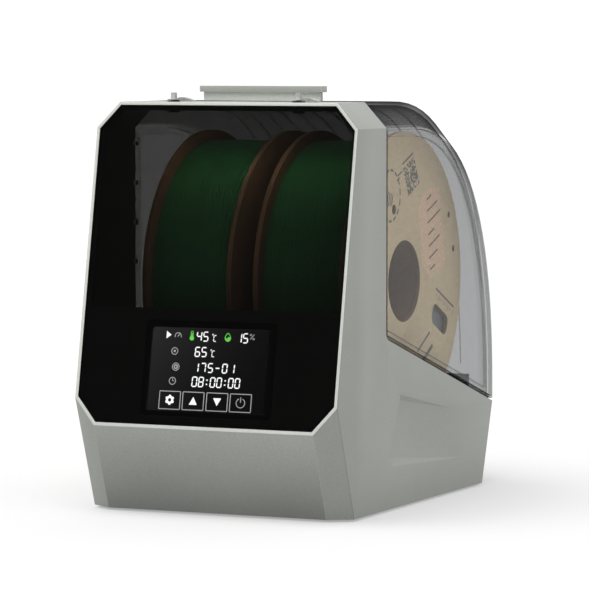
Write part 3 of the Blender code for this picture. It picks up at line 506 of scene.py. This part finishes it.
def pane(name, tints, gloss=0.03, mirror=0.04, edge=0.9, mask=None):
    """A see-through sheet: tints are (facing, colour) stops of what one of its two faces lets through."""
    n = Nodes(name)
    weight = n.add("ShaderNodeLayerWeight")
    weight.inputs["Blend"].default_value = 0.5
    facing = weight.outputs["Facing"]
    tint = n.ramp(facing, *tints)
    if mask:
        tint = mask(n, tint)
    clear = n.add("ShaderNodeBsdfTransparent")
    n.link(tint, clear.inputs["Color"])
    gleam = n.add("ShaderNodeBsdfGlossy")
    gleam.inputs["Color"].default_value = (1, 1, 1, 1)
    n.link(n.spread(n.noise(45, 3.0), gloss, gloss * 2.2), gleam.inputs["Roughness"])
    both = n.add("ShaderNodeMixShader")
    n.link(n.spread(n.maths("POWER", facing, 5.0), mirror, edge), both.inputs[0])
    n.link(clear.outputs["BSDF"], both.inputs[1])
    n.link(gleam.outputs["BSDF"], both.inputs[2])
    return n.done(both.outputs["Shader"])


def front_height(n):
    """Distance up the leaning front, in millimetres."""
    up = Vector((FRONT_HIGH[0] - FRONT_LOW[0], FRONT_HIGH[1] - FRONT_LOW[1])).normalized()
    across = n.maths("MULTIPLY_ADD", n.axis("Y"), 1 / MM, -FRONT_LOW[0])
    rise = n.maths("MULTIPLY_ADD", n.axis("Z"), 1 / MM, -FRONT_LOW[1] - FEET)
    return n.maths("ADD", n.maths("MULTIPLY", across, up.x), n.maths("MULTIPLY", rise, up.y))


def panel_acrylic():
    def display_area(n, tint):
        height = front_height(n)
        side = n.maths("ABSOLUTE", n.maths("MULTIPLY", n.axis("X"), 1 / MM))
        inside = n.maths("LESS_THAN", side, DISPLAY_HALF_WIDTH)
        inside = n.maths("MULTIPLY", inside, n.maths("GREATER_THAN", height, DISPLAY_LOW))
        inside = n.maths("MULTIPLY", inside, n.maths("LESS_THAN", height, DISPLAY_HIGH))
        return n.mix(inside, tint, (0.78, 0.78, 0.78))

    smoke = ((0.0, (0.235, 0.235, 0.232)), (0.6, (0.20, 0.20, 0.197)), (1.0, (0.04, 0.04, 0.04)))
    return pane("panel_acrylic", smoke, gloss=0.02, mirror=0.012, edge=0.6, mask=display_area)


def clear_sides(n, tint):
    """Leaves the tint off the flat sides of the arch, which its windows are glued to."""
    split = n.add("ShaderNodeSeparateXYZ")
    n.link(n.add("ShaderNodeNewGeometry").outputs["True Normal"], split.inputs["Vector"])
    flat = n.maths("GREATER_THAN", n.maths("ABSOLUTE", split.outputs["X"]), 0.98)
    outside = n.maths("GREATER_THAN", n.maths("ABSOLUTE", n.axis("X")), 0.086)
    return n.mix(n.maths("MULTIPLY", flat, outside), tint, (0.93, 0.93, 0.93))


def glowing(name, colour, strength):
    n = Nodes(name)
    tone = n.ramp(n.noise(3000, 1.0), (0.2, scaled(colour, 0.9)), (0.8, colour))
    shader = n.add("ShaderNodeBsdfPrincipled")
    n.link(tone, shader.inputs["Base Color"])
    n.link(tone, shader.inputs["Emission Color"])
    shader.inputs["Emission Strength"].default_value = strength
    shader.inputs["Roughness"].default_value = 0.5
    return n.done(shader.outputs["BSDF"])


def display_glass():
    """Dark display face, a little lighter towards its upper left."""
    n = Nodes("display_glass")
    height = n.spread(front_height(n), 0.0, 1.0, DISPLAY_LOW, DISPLAY_HIGH)
    left = n.spread(n.axis("X"), 1.0, 0.0, -DISPLAY_HALF_WIDTH * MM, DISPLAY_HALF_WIDTH * MM)
    upper_left = n.maths("MULTIPLY", n.maths("ADD", height, n.maths("MULTIPLY", left, 2.0)), 0.333)
    glow = n.maths("POWER", upper_left, 2.2)
    grain = n.spread(n.noise(2600, 1.0), 0.85, 1.1)
    tone = n.mix(n.maths("MULTIPLY", glow, grain), (0.0003, 0.0003, 0.0003), (0.034, 0.034, 0.034))
    shader = n.add("ShaderNodeBsdfPrincipled")
    shader.inputs["Base Color"].default_value = (0.0005, 0.0005, 0.0005, 1)
    shader.inputs["Roughness"].default_value = 0.5
    shader.inputs["Specular IOR Level"].default_value = 0.02
    n.link(tone, shader.inputs["Emission Color"])
    shader.inputs["Emission Strength"].default_value = 1.0
    return n.done(shader.outputs["BSDF"])


def circuit():
    n = Nodes("circuit_board")
    brick = n.add("ShaderNodeTexBrick")
    brick.inputs["Scale"].default_value = 260
    brick.inputs["Mortar Size"].default_value = 0.05
    brick.inputs["Color1"].default_value = (0.010, 0.085, 0.035, 1)
    brick.inputs["Color2"].default_value = (0.012, 0.105, 0.045, 1)
    brick.inputs["Mortar"].default_value = (0.02, 0.16, 0.07, 1)
    n.link(n.position, brick.inputs["Vector"])
    rough = n.spread(n.noise(300), 0.3, 0.5)
    return n.done(n.principled(brick.outputs["Color"], rough, n.bump(brick.outputs["Fac"], 0.2, 0.05)))


def fins():
    n = Nodes("heater_fins")
    streaks = n.noise(900, 3.0, stretch=(1.0, 1.0, 0.1))
    tone = n.ramp(streaks, (0.3, (0.5, 0.5, 0.52)), (0.7, (0.72, 0.72, 0.74)))
    return n.done(n.principled(tone, n.spread(streaks, 0.3, 0.5), n.bump(streaks, 0.2, 0.03), Metallic=1.0))


CASING = casing_silver()
HANDLE_PAINTED_LIGHT = handle_painted_light_silver()
BLACK = moulded("black_plastic", (0.012, 0.012, 0.013), 0.48)
DECK_BLACK = moulded("deck_plastic", (0.014, 0.014, 0.015), 0.62, grain=700, strength=0.08)
RUBBER = rubber("black_rubber", (0.016, 0.016, 0.016))
SILICONE = rubber("grey_silicone", (0.30, 0.30, 0.29), 0.55)
STEEL = steel()
BOARD = cardboard("cardboard", (0.500, 0.395, 0.245), (0.160, 0.092, 0.042))
GREEN = filament_plastic()
PANEL = panel_acrylic()
SMOKE = pane(
    "smoked_polycarbonate",
    (
        (0.0, (0.64, 0.64, 0.64)),
        (0.3, (0.59, 0.59, 0.59)),
        (0.66, (0.54, 0.54, 0.54)),
        (0.8, (0.42, 0.42, 0.42)),
        (0.92, (0.10, 0.10, 0.10)),
        (1.0, (0.01, 0.01, 0.01)),
    ),
    gloss=0.035,
    mirror=0.02,
    edge=0.03,
    mask=clear_sides,
)
CLEAR = pane(
    "clear_polycarbonate",
    (
        (0.0, (0.95, 0.955, 0.957)),
        (0.6, (0.92, 0.925, 0.93)),
        (0.92, (0.74, 0.75, 0.76)),
        (1.0, (0.35, 0.36, 0.37)),
    ),
    gloss=0.02,
    mirror=0.015,
    edge=0.35,
)
WHITE_LIGHT = glowing("display_white", (1.0, 1.0, 1.0), 1.25)
DIM_LIGHT = glowing("display_dim", (0.62, 0.62, 0.62), 0.55)
GREEN_LIGHT = glowing("display_green", (0.16, 0.72, 0.10), 0.9)
DISPLAY = display_glass()
RIB = pane("moulded_ribs", ((0.0, (0.78, 0.78, 0.78)), (1.0, (0.50, 0.50, 0.50))), mirror=0.005, edge=0.01)
CIRCUIT = circuit()
FINS = fins()
PRINT = moulded("grey_print", (0.085, 0.080, 0.075), 0.8)
LABEL = moulded("salmon_label", (0.56, 0.38, 0.25), 0.75)
WHITE_PRINT = moulded("white_print", (0.80, 0.80, 0.80), 0.55)


# ---------------------------------------------------------------- casing

softened("housing_body", "housing_shell", CASING, 0.5, 3)
softened("front_bezel", "front_cover", CASING, 0.5, 3)
softened("tinted_panel", "front_panel", PANEL, 0.3, 2)
softened("base_plate", "bottom_plate", BLACK, 0.4, 2)
softened("carry_handle", "lid_handle", HANDLE_PAINTED_LIGHT, 0.5, 3)


# ---------------------------------------------------------------- display

SEGMENTS = {
    "0": "abcdef",
    "1": "bc",
    "4": "fgbc",
    "5": "afgcd",
    "6": "afgedc",
    "7": "abc",
    "8": "abcdefg",
    "-": "g",
    "C": "afed",
}


def leaning(left, low):
    def place(u, v, w):
        return on_front(left + u + LEAN * v, low + v, w)

    return place


def bar(bm, place, a, b, width, near, far):
    """A stroke with pointed ends from a to b."""
    a, b = Vector(a), Vector(b)
    along = (b - a).normalized()
    across = Vector((-along.y, along.x)) * (width / 2)
    tip = along * (width / 2)
    points = [a, a + tip + across, b - tip + across, b, b - tip - across, a + tip - across]
    extruded(bm, [tuple(p) for p in points], place, near, far)


def figure(bm, text, left, low, width, height, near, far, stroke=STROKE):
    place = leaning(left, low)
    half = height / 2
    inset = stroke / 2
    corners = {
        "a": ((inset, height - inset), (width - inset, height - inset)),
        "b": ((width - inset, height - inset), (width - inset, half)),
        "c": ((width - inset, half), (width - inset, inset)),
        "d": ((inset, inset), (width - inset, inset)),
        "e": ((inset, half), (inset, inset)),
        "f": ((inset, height - inset), (inset, half)),
        "g": ((inset, half), (width - inset, half)),
    }
    for name in SEGMENTS[text]:
        a, b = (Vector(p) for p in corners[name])
        step = (b - a).normalized() * SEGMENT_GAP
        bar(bm, place, a + step, b - step, stroke, near, far)


def figures(bm, text, left, low, pitch, width, height, near, far):
    for character in text:
        if character == ":":
            place = leaning(left, low)
            for v in (0.3 * height, 0.7 * height):
                extruded(bm, rectangle(1.0, v - 0.45, 1.9, v + 0.45), place, near, far)
            left += 3.6
        else:
            figure(bm, character, left, low, width, height, near, far)
            left += pitch


def degree_sign(bm, left, low, near, far):
    place = leaning(left, low)
    band(bm, circle(0.5, 4.5, 0.55, 12), circle(0.5, 4.5, 0.25, 12), place, near, far)
    figure(bm, "C", left + 1.1, low, 2.4, 4.3, near, far, 0.55)


def arc(bm, cu, cv, radius, width, start, end, place, near, far, steps=24):
    outer = circle(cu, cv, radius + width / 2, steps, start, end)
    inner = circle(cu, cv, radius - width / 2, steps, start, end)
    extruded(bm, outer + inner[::-1], place, near, far)


def display_screen():
    bm = bmesh.new()
    margin = 0.3
    reach = DISPLAY_HALF_WIDTH - margin
    outline = rounded(-reach, DISPLAY_LOW + margin, reach, DISPLAY_HIGH - margin, 2)
    extruded(bm, outline, on_front, DISPLAY_FACE + 0.005, DISPLAY_FACE + 0.015)
    piece("display_screen", bm, DISPLAY, "base")


def display_figures():
    bm = bmesh.new()
    figures(bm, "45", -10.6, 57.2, 4.66, 3.9, 6.6, *GLOW)
    figures(bm, "15", 17.9, 57.0, 4.4, 3.8, 6.6, *GLOW)
    figures(bm, "65", -11.0, 47.2, 4.66, 3.9, 6.6, *GLOW)
    figures(bm, "175-01", -11.2, 37.2, 5.1, 3.9, 6.4, *GLOW)
    figures(bm, "08:00:00", -11.6, 27.8, 4.66, 3.9, 6.8, *GLOW)
    degree_sign(bm, 0.4, 57.4, *GLOW)
    degree_sign(bm, 0.0, 47.4, *GLOW)
    extruded(bm, [(-31.9, 58.4), (-28.4, 60.9), (-31.9, 63.4)], on_front, *GLOW)
    piece("display_figures", bm, WHITE_LIGHT, "base")


def key_signs():
    bm = bmesh.new()
    gear, hole = [], []
    for i in range(48):
        angle = 2 * math.pi * i / 48
        reach = 2.95 + 0.42 * math.cos(6 * angle)
        gear.append((-26.1 + reach * math.cos(angle + 0.52), 18.9 + reach * math.sin(angle + 0.52)))
        hole.append((-26.1 + 1.15 * math.cos(angle + 0.52), 18.9 + 1.15 * math.sin(angle + 0.52)))
    band(bm, gear, hole, on_front, *GLOW)
    extruded(bm, [(-12.2, 16.3), (-6.5, 16.3), (-9.35, 21.4)], on_front, *GLOW)
    extruded(bm, [(4.8, 21.2), (10.5, 21.2), (7.65, 16.2)], on_front, *GLOW)
    piece("key_signs", bm, WHITE_LIGHT, "base")
    bm = bmesh.new()
    for left, right in ((-33.8, -18.4), (-17.1, -1.6), (-0.1, 15.3), (16.6, 32.0)):
        outer = rounded(left, 12.7, right, 24.7, 0.6, 2)
        inner = rounded(left + 0.5, 13.2, right - 0.5, 24.2, 0.3, 2)
        band(bm, outer, inner, on_front, *GLOW)
    arc(bm, 24.3, 18.7, 3.0, 0.5, 115, 425, on_front, *GLOW)
    extruded(bm, rectangle(24.05, 18.9, 24.55, 22.4), on_front, *GLOW)
    piece("key_frames", bm, DIM_LIGHT, "base")


def row_signs():
    """Small pictures in front of the rows: a dial, a target, a spool and a clock, and a percent sign."""
    bm = bmesh.new()
    arc(bm, -23.6, 60.2, 2.2, 0.45, -20, 200, on_front, *GLOW)
    bar(bm, on_front, (-23.9, 59.8), (-22.4, 61.9), 0.5, *GLOW)
    band(bm, circle(-25.2, 50.5, 2.4), circle(-25.2, 50.5, 1.95), on_front, *GLOW)
    extruded(bm, circle(-25.2, 50.5, 0.8, 12), on_front, *GLOW)
    band(bm, circle(-23.6, 40.4, 2.6), circle(-23.6, 40.4, 2.15), on_front, *GLOW)
    band(bm, circle(-23.6, 40.4, 1.5), circle(-23.6, 40.4, 0.7), on_front, *GLOW)
    band(bm, circle(-25.2, 31.2, 2.5), circle(-25.2, 31.2, 2.05), on_front, *GLOW)
    bar(bm, on_front, (-25.2, 31.2), (-25.2, 32.9), 0.4, *GLOW)
    bar(bm, on_front, (-25.2, 31.2), (-23.9, 31.2), 0.4, *GLOW)
    bar(bm, on_front, (27.6, 59.6), (30.4, 63.0), 0.4, *GLOW)
    band(bm, circle(27.9, 62.6, 0.7, 12), circle(27.9, 62.6, 0.35, 12), on_front, *GLOW)
    band(bm, circle(30.1, 60.0, 0.7, 12), circle(30.1, 60.0, 0.35, 12), on_front, *GLOW)
    piece("row_signs", bm, DIM_LIGHT, "base")
    bm = bmesh.new()
    tube, bore = rounded(-14.7, 58.6, -12.7, 64.0, 1.0, 5), rounded(-14.25, 59.05, -13.15, 63.55, 0.5, 5)
    band(bm, tube, bore, on_front, *GLOW)
    extruded(bm, circle(-13.7, 59.2, 1.55, 20), on_front, *GLOW)
    extruded(bm, rectangle(-14.1, 60.4, -13.3, 62.6), on_front, *GLOW)
    drop, hollow = [], []
    for i in range(32):
        angle = 2 * math.pi * i / 32
        lift = 1.0 + 0.45 * max(0.0, math.sin(angle)) ** 3
        drop.append((11.9 + 2.2 * math.cos(angle), 60.0 + 2.3 * lift * math.sin(angle)))
        hollow.append((11.9 + 1.75 * math.cos(angle), 60.0 + 1.85 * lift * math.sin(angle)))
    band(bm, drop, hollow, on_front, *GLOW)
    wave = []
    for degrees in range(165, 376, 15):
        angle = math.radians(degrees)
        wave.append((11.9 + 1.72 * math.cos(angle), 60.0 + 1.8 * math.sin(angle)))
    wave += [(12.6, 60.9), (11.6, 60.1), (11.0, 59.6)]
    extruded(bm, wave, on_front, *GLOW)
    piece("green_signs", bm, GREEN_LIGHT, "base")


display_screen()
display_figures()
key_signs()
row_signs()


# ---------------------------------------------------------------- lid

def shoulder():
    """Stations (y, z, normal y, normal z) of the lid's shoulder, from the front to the rear."""
    stations = [(LID_FRONT + 1.0, ARC_LOW + ARC_HEIGHT, 0.0, 1.0)]
    for i in range(ARC_STEPS + 1):
        angle = math.radians(90 * (1 - i / ARC_STEPS))
        across = max(math.cos(angle), 0.0) ** (2 / ARC_POWER)
        rise = max(math.sin(angle), 0.0) ** (2 / ARC_POWER)
        steepness = (across ** (ARC_POWER - 1) / ARC_DEPTH, rise ** (ARC_POWER - 1) / ARC_HEIGHT)
        normal = Vector(steepness).normalized()
        stations.append((ARC_START + ARC_DEPTH * across, ARC_LOW + ARC_HEIGHT * rise, normal.x, normal.y))
    return [s for s in stations if s[1] > 62.0]


def lid_ribs():
    """Low ribs moulded along the inside of the arch."""
    bm = bmesh.new()
    inner = CHAMFER - LID_SKIN - 0.05
    half = RIB_WIDTH / 2
    crest = inner - RIB_HEIGHT
    section = ((-half, inner), (half, inner), (half - 0.2, crest), (0.2 - half, crest))
    for i in range(-5, 6):
        rings = []
        for y, z, ny, nz in shoulder():
            rings.append([bm.verts.new((i * RIB_PITCH + x, y + ny * d, z + nz * d)) for x, d in section])
        for here, there in zip(rings, rings[1:]):
            for k in range(4):
                n = (k + 1) % 4
                bm.faces.new((here[k], here[n], there[n], there[k]))
        bm.faces.new(rings[0])
        bm.faces.new(rings[-1])
    piece("arch_ribs", bm, RIB, "lid")


softened("smoked_arch", "lid_arch", SMOKE, 0.4, 2, smooth=25)
softened("side_window_left", "lid_window_left", CLEAR, 0.25, 1)
softened("side_window_right", "lid_window_right", CLEAR, 0.25, 1)
lid_ribs()


# ---------------------------------------------------------------- spools

def wound_filament(side, name):
    """Ridged coil of filament, one ridge to a turn."""
    bm = bmesh.new()
    start, end = SPOOL_INNER + FLANGE + 0.3, SPOOL_OUTER - FLANGE - 0.3
    turns = int((end - start) / STRAND)
    pitch = (end - start) / turns
    rng = random.Random(5 if side > 0 else 9)
    profile = [(WOUND_CORE, start)]
    for k in range(turns):
        sag = rng.uniform(-0.12, 0.0)
        for degrees in RIDGE_ANGLES:
            angle = math.radians(degrees)
            width = start + pitch * (k + 0.5 + 0.5 * math.cos(angle))
            profile.append((WOUND_RADIUS - 0.9 + sag + 0.88 * math.sin(angle), width))
    profile.append((WOUND_CORE, end))
    turned(bm, profile, on_spool(0.0, side), COIL_STEPS)
    obj = piece(f"coil_{name}", bm, GREEN, f"spool_{name}", smooth=60)
    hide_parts(f"filament_{name}")


def spool_prints(side, name):
    """Plain printed marks on a spool's outer face: a block of squares, bars, a ring, a label and a scale."""
    face = on_spool(SPOOL_OUTER, side)
    near, far = 0.02, 0.10
    rng = random.Random(3)
    bm = bmesh.new()
    along, up = SQUARES_ALONG / SQUARES, SQUARES_UP / SQUARES
    for i in range(SQUARES):
        for j in range(SQUARES):
            if rng.random() < 0.60:
                a = SQUARES_CORNER + along * i + up * j
                square = (a, a + along, a + along + up, a + up)
                extruded(bm, [tuple(point) for point in square], face, near, far)
    strokes = list(PRINTED_BARS)
    for k in range(8):
        base = Vector((57.0 + 4.0 * k, -11.5 - 1.9 * k))
        strokes.append((tuple(base), tuple(base + Vector((-1.2, -2.4 - (k % 2)))), 0.5))
    for a, b, width in strokes:
        bar(bm, face, a, b, width, near, far)
    for k in range(5):
        bar(bm, face, (-33.0 + 2.6 * k, 51.0), (-30.0 + 2.6 * k, 62.0 - 0.8 * k), 1.1, near, far)
    for start in range(0, 360, 24):
        arc(bm, -24.6, 57.9, 17.0, 1.5, start, start + 15, face, near, far, 4)
    piece(f"spool_{name}_marks", bm, PRINT, f"spool_{name}")
    bm = bmesh.new()
    extruded(bm, LABEL_OUTLINE, face, 0.01, 0.03)
    piece(f"spool_{name}_label", bm, LABEL, f"spool_{name}")
    bm = bmesh.new()
    for k, length in enumerate(LABEL_LINES):
        a = Vector((38.0 + 1.0 * k, 53.0 - 8.0 * k))
        bar(bm, face, tuple(a), tuple(a + Vector((length * 0.93, length * 0.36))), 1.2, 0.05, 0.12)
    piece(f"spool_{name}_lines", bm, PRINT, f"spool_{name}")


def flange_boards(name):
    for end in ("inner", "outer"):
        node = f"spool_{name}_flange_{end}"
        softened(f"{node}_board", node, BOARD, 0.3, 2)


for spool_side, spool_name in ((-1, "left"), (1, "right")):
    wound_filament(spool_side, spool_name)
    flange_boards(spool_name)
    spool_prints(spool_side, spool_name)


# ---------------------------------------------------------------- small pieces

def inlet_contacts():
    """Bright contacts in the mains inlet."""
    bm = bmesh.new()
    for x, t in ((-7.0, -2.0), (0.0, 2.0), (7.0, -2.0)):
        centre_x, centre_t = INLET_X + x, INLET_T + t
        outline = rounded(centre_x - 1.06, centre_t - 2.26, centre_x + 1.06, centre_t + 2.26, 0.4, 3)
        extruded(bm, outline, on_rear, -13.4, -5.42)
    piece("inlet_contacts", bm, STEEL, "base")


def rocker_marks():
    """A bar and a ring on the two ends of the rocker."""
    tilt = math.radians(ROCKER_TILT)

    def on_rocker(u, v, w):
        w += 1.3 + (abs(u) - 4.0) * 0.194
        out = w * math.cos(tilt) - u * math.sin(tilt)
        up = u * math.cos(tilt) + w * math.sin(tilt)
        return on_rear(SWITCH_X + v, SWITCH_T + up, ROCKER_AXIS_DEPTH + out)

    bm = bmesh.new()
    extruded(bm, rectangle(4.3, -0.25, 6.7, 0.25), on_rocker, 0.02, 0.08)
    band(bm, circle(-5.5, 0.0, 1.25), circle(-5.5, 0.0, 0.8), on_rocker, 0.02, 0.08)
    piece("rocker_marks", bm, WHITE_PRINT, "switch_rocker")


def screw_recess_painted_shade():
    """Painted shade of the cross recesses in the case screws' heads: flat black crosses laid on the heads.
    """

    def on_head(u, v, w):
        return Vector((u, v, 0.2 - w))

    bm = bmesh.new()
    for x in (-84.5, 84.5):
        for y in (-85.0, 95.0):
            for reach, half in ((1.7, 0.38), (0.38, 1.7)):
                extruded(bm, rectangle(x - reach, y - half, x + reach, y + half), on_head, 0.01, 0.05)
    piece("screw_recess_painted_shade", bm, BLACK, "base")


inlet_contacts()
rocker_marks()
screw_recess_painted_shade()
for plain, soft, finish, width in (
    ("chamber_deck", "roller_bed", DECK_BLACK, 0.4),
    ("hinge_bar", "hinge_cover", BLACK, 0.3),
    ("switch_rocker", "switch_button", BLACK, 0.3),
    ("outlet_plug_left", "silicone_plug_left", SILICONE, 0.25),
    ("outlet_plug_right", "silicone_plug_right", SILICONE, 0.25),
):
    softened(soft, plain, finish, width)
for index in range(1, 5):
    softened(f"foot_pad_{index}", f"rubber_foot_{index}", RUBBER, 0.4)


# ---------------------------------------------------------------- carried-over CAD nodes

KEPT = {
    "display_module": BLACK,
    "display_board": CIRCUIT,
    "main_board": CIRCUIT,
    "power_module": CIRCUIT,
    "humidity_sensor": BLACK,
    "power_inlet": BLACK,
    "switch_housing": BLACK,
    "heater_duct": BLACK,
    "heater_core": FINS,
    "fan_frame": BLACK,
    "fan_rotor": BLACK,
    "lid_seal": RUBBER,
}
PREFIXES = (
    ("case_screw", STEEL),
    ("hinge_pin", STEEL),
    ("roller_axle", STEEL),
    ("roller_bearing", STEEL),
    ("roller_", RUBBER),
    ("outlet_bushing", BLACK),
    ("spool_", BOARD),
)


def kept_material(node):
    if node in KEPT:
        return KEPT[node]
    return next((material for prefix, material in PREFIXES if node.startswith(prefix)), None)


for node, obj in NODES.items():
    material = kept_material(node)
    if material and not obj.hide_render:
        obj.data.materials.clear()
        obj.data.materials.append(material)


# ---------------------------------------------------------------- camera, floor and light

camera = bpy.data.objects.new("camera", bpy.data.cameras.new("camera"))
camera.location = Vector((1020.6, -2222.8, 299.4)) * MM
camera.rotation_euler = (math.radians(86.17), 0, math.radians(24.67))
camera.data.lens = 222.85
camera.data.sensor_width = 36
camera.data.dof.use_dof = False
WORK.objects.link(camera)
bpy.context.scene.camera = camera

floor_mesh = bpy.data.meshes.new("floor")
floor_bm = bmesh.new()
bmesh.ops.create_grid(floor_bm, x_segments=8, y_segments=8, size=12)
floor_bm.to_mesh(floor_mesh)
floor_bm.free()
floor = bpy.data.objects.new("floor", floor_mesh)
WORK.objects.link(floor)


def pale_floor():
    """Pale matt floor that fades into the light backdrop further out."""
    n = Nodes("pale_floor")
    tone = n.ramp(n.noise(3, 2.0), (0.3, (0.56, 0.56, 0.56)), (0.7, (0.58, 0.58, 0.58)))
    near = n.principled(tone, 0.9)
    far = n.add("ShaderNodeEmission")
    far.inputs["Color"].default_value = (1, 1, 1, 1)
    far.inputs["Strength"].default_value = BACKDROP
    distance = n.add("ShaderNodeVectorMath", operation="LENGTH")
    n.link(n.position, distance.inputs[0])
    away = n.spread(distance.outputs["Value"], 0.35, 1.0, 0.16, 0.60)
    away = n.maths("MULTIPLY", away, n.spread(n.axis("Y"), 0.0, 1.0, -1.0, -0.55))
    both = n.add("ShaderNodeMixShader")
    n.link(away, both.inputs[0])
    n.link(near, both.inputs[1])
    n.link(far.outputs["Emission"], both.inputs[2])
    return n.done(both.outputs["Shader"])


def smooth_step(tree, value, low, high):
    node = tree.nodes.new("ShaderNodeMapRange")
    node.interpolation_type = "SMOOTHSTEP"
    node.inputs["From Min"].default_value = low
    node.inputs["From Max"].default_value = high
    tree.links.new(value, node.inputs["Value"])
    return node.outputs["Result"]


def studio():
    """Light backdrop behind and above, and a darker room in front of the object."""
    world = bpy.data.worlds.new("studio")
    world.use_nodes = True
    tree = world.node_tree
    background = tree.nodes["Background"]
    background.inputs["Color"].default_value = (1, 1, 1, 1)
    direction = tree.nodes.new("ShaderNodeTexCoord")
    split = tree.nodes.new("ShaderNodeSeparateXYZ")
    tree.links.new(direction.outputs["Generated"], split.inputs["Vector"])
    most = tree.nodes.new("ShaderNodeMath")
    most.operation = "MAXIMUM"
    tree.links.new(smooth_step(tree, split.outputs["Y"], -0.35, 0.15), most.inputs[0])
    tree.links.new(smooth_step(tree, split.outputs["Z"], 0.40, 0.75), most.inputs[1])
    tone = tree.nodes.new("ShaderNodeMapRange")
    tone.inputs["To Min"].default_value = ROOM
    tone.inputs["To Max"].default_value = BACKDROP
    tree.links.new(most.outputs["Value"], tone.inputs["Value"])
    tree.links.new(tone.outputs["Result"], background.inputs["Strength"])
    bpy.context.scene.world = world


floor_mesh.materials.append(pale_floor())
studio()


def softbox(name, location, target, size, power):
    light = bpy.data.lights.new(name, "AREA")
    light.shape = "RECTANGLE"
    light.size, light.size_y = size
    light.energy = power
    lamp = bpy.data.objects.new(name, light)
    lamp.location = location
    lamp.rotation_euler = (Vector(target) - Vector(location)).to_track_quat("-Z", "Y").to_euler()
    WORK.objects.link(lamp)
    return lamp


softbox("key", (-0.5, -1.15, 3.2), (0, 0, 0.15), (3.4, 2.6), 125)
for height, reach, size, power in ((0.246, -0.072, (0.13, 0.02), 0.17), (0.190, -0.106, (0.13, 0.09), 0.11)):
    inner = softbox("chamber", (0, reach, height), (0, 0.05, height - 0.05), size, power)
    inner.visible_camera = False
    inner.visible_glossy = False

bpy.context.scene.view_settings.view_transform = "Standard"
bpy.context.scene.cycles.transparent_max_bounces = 24
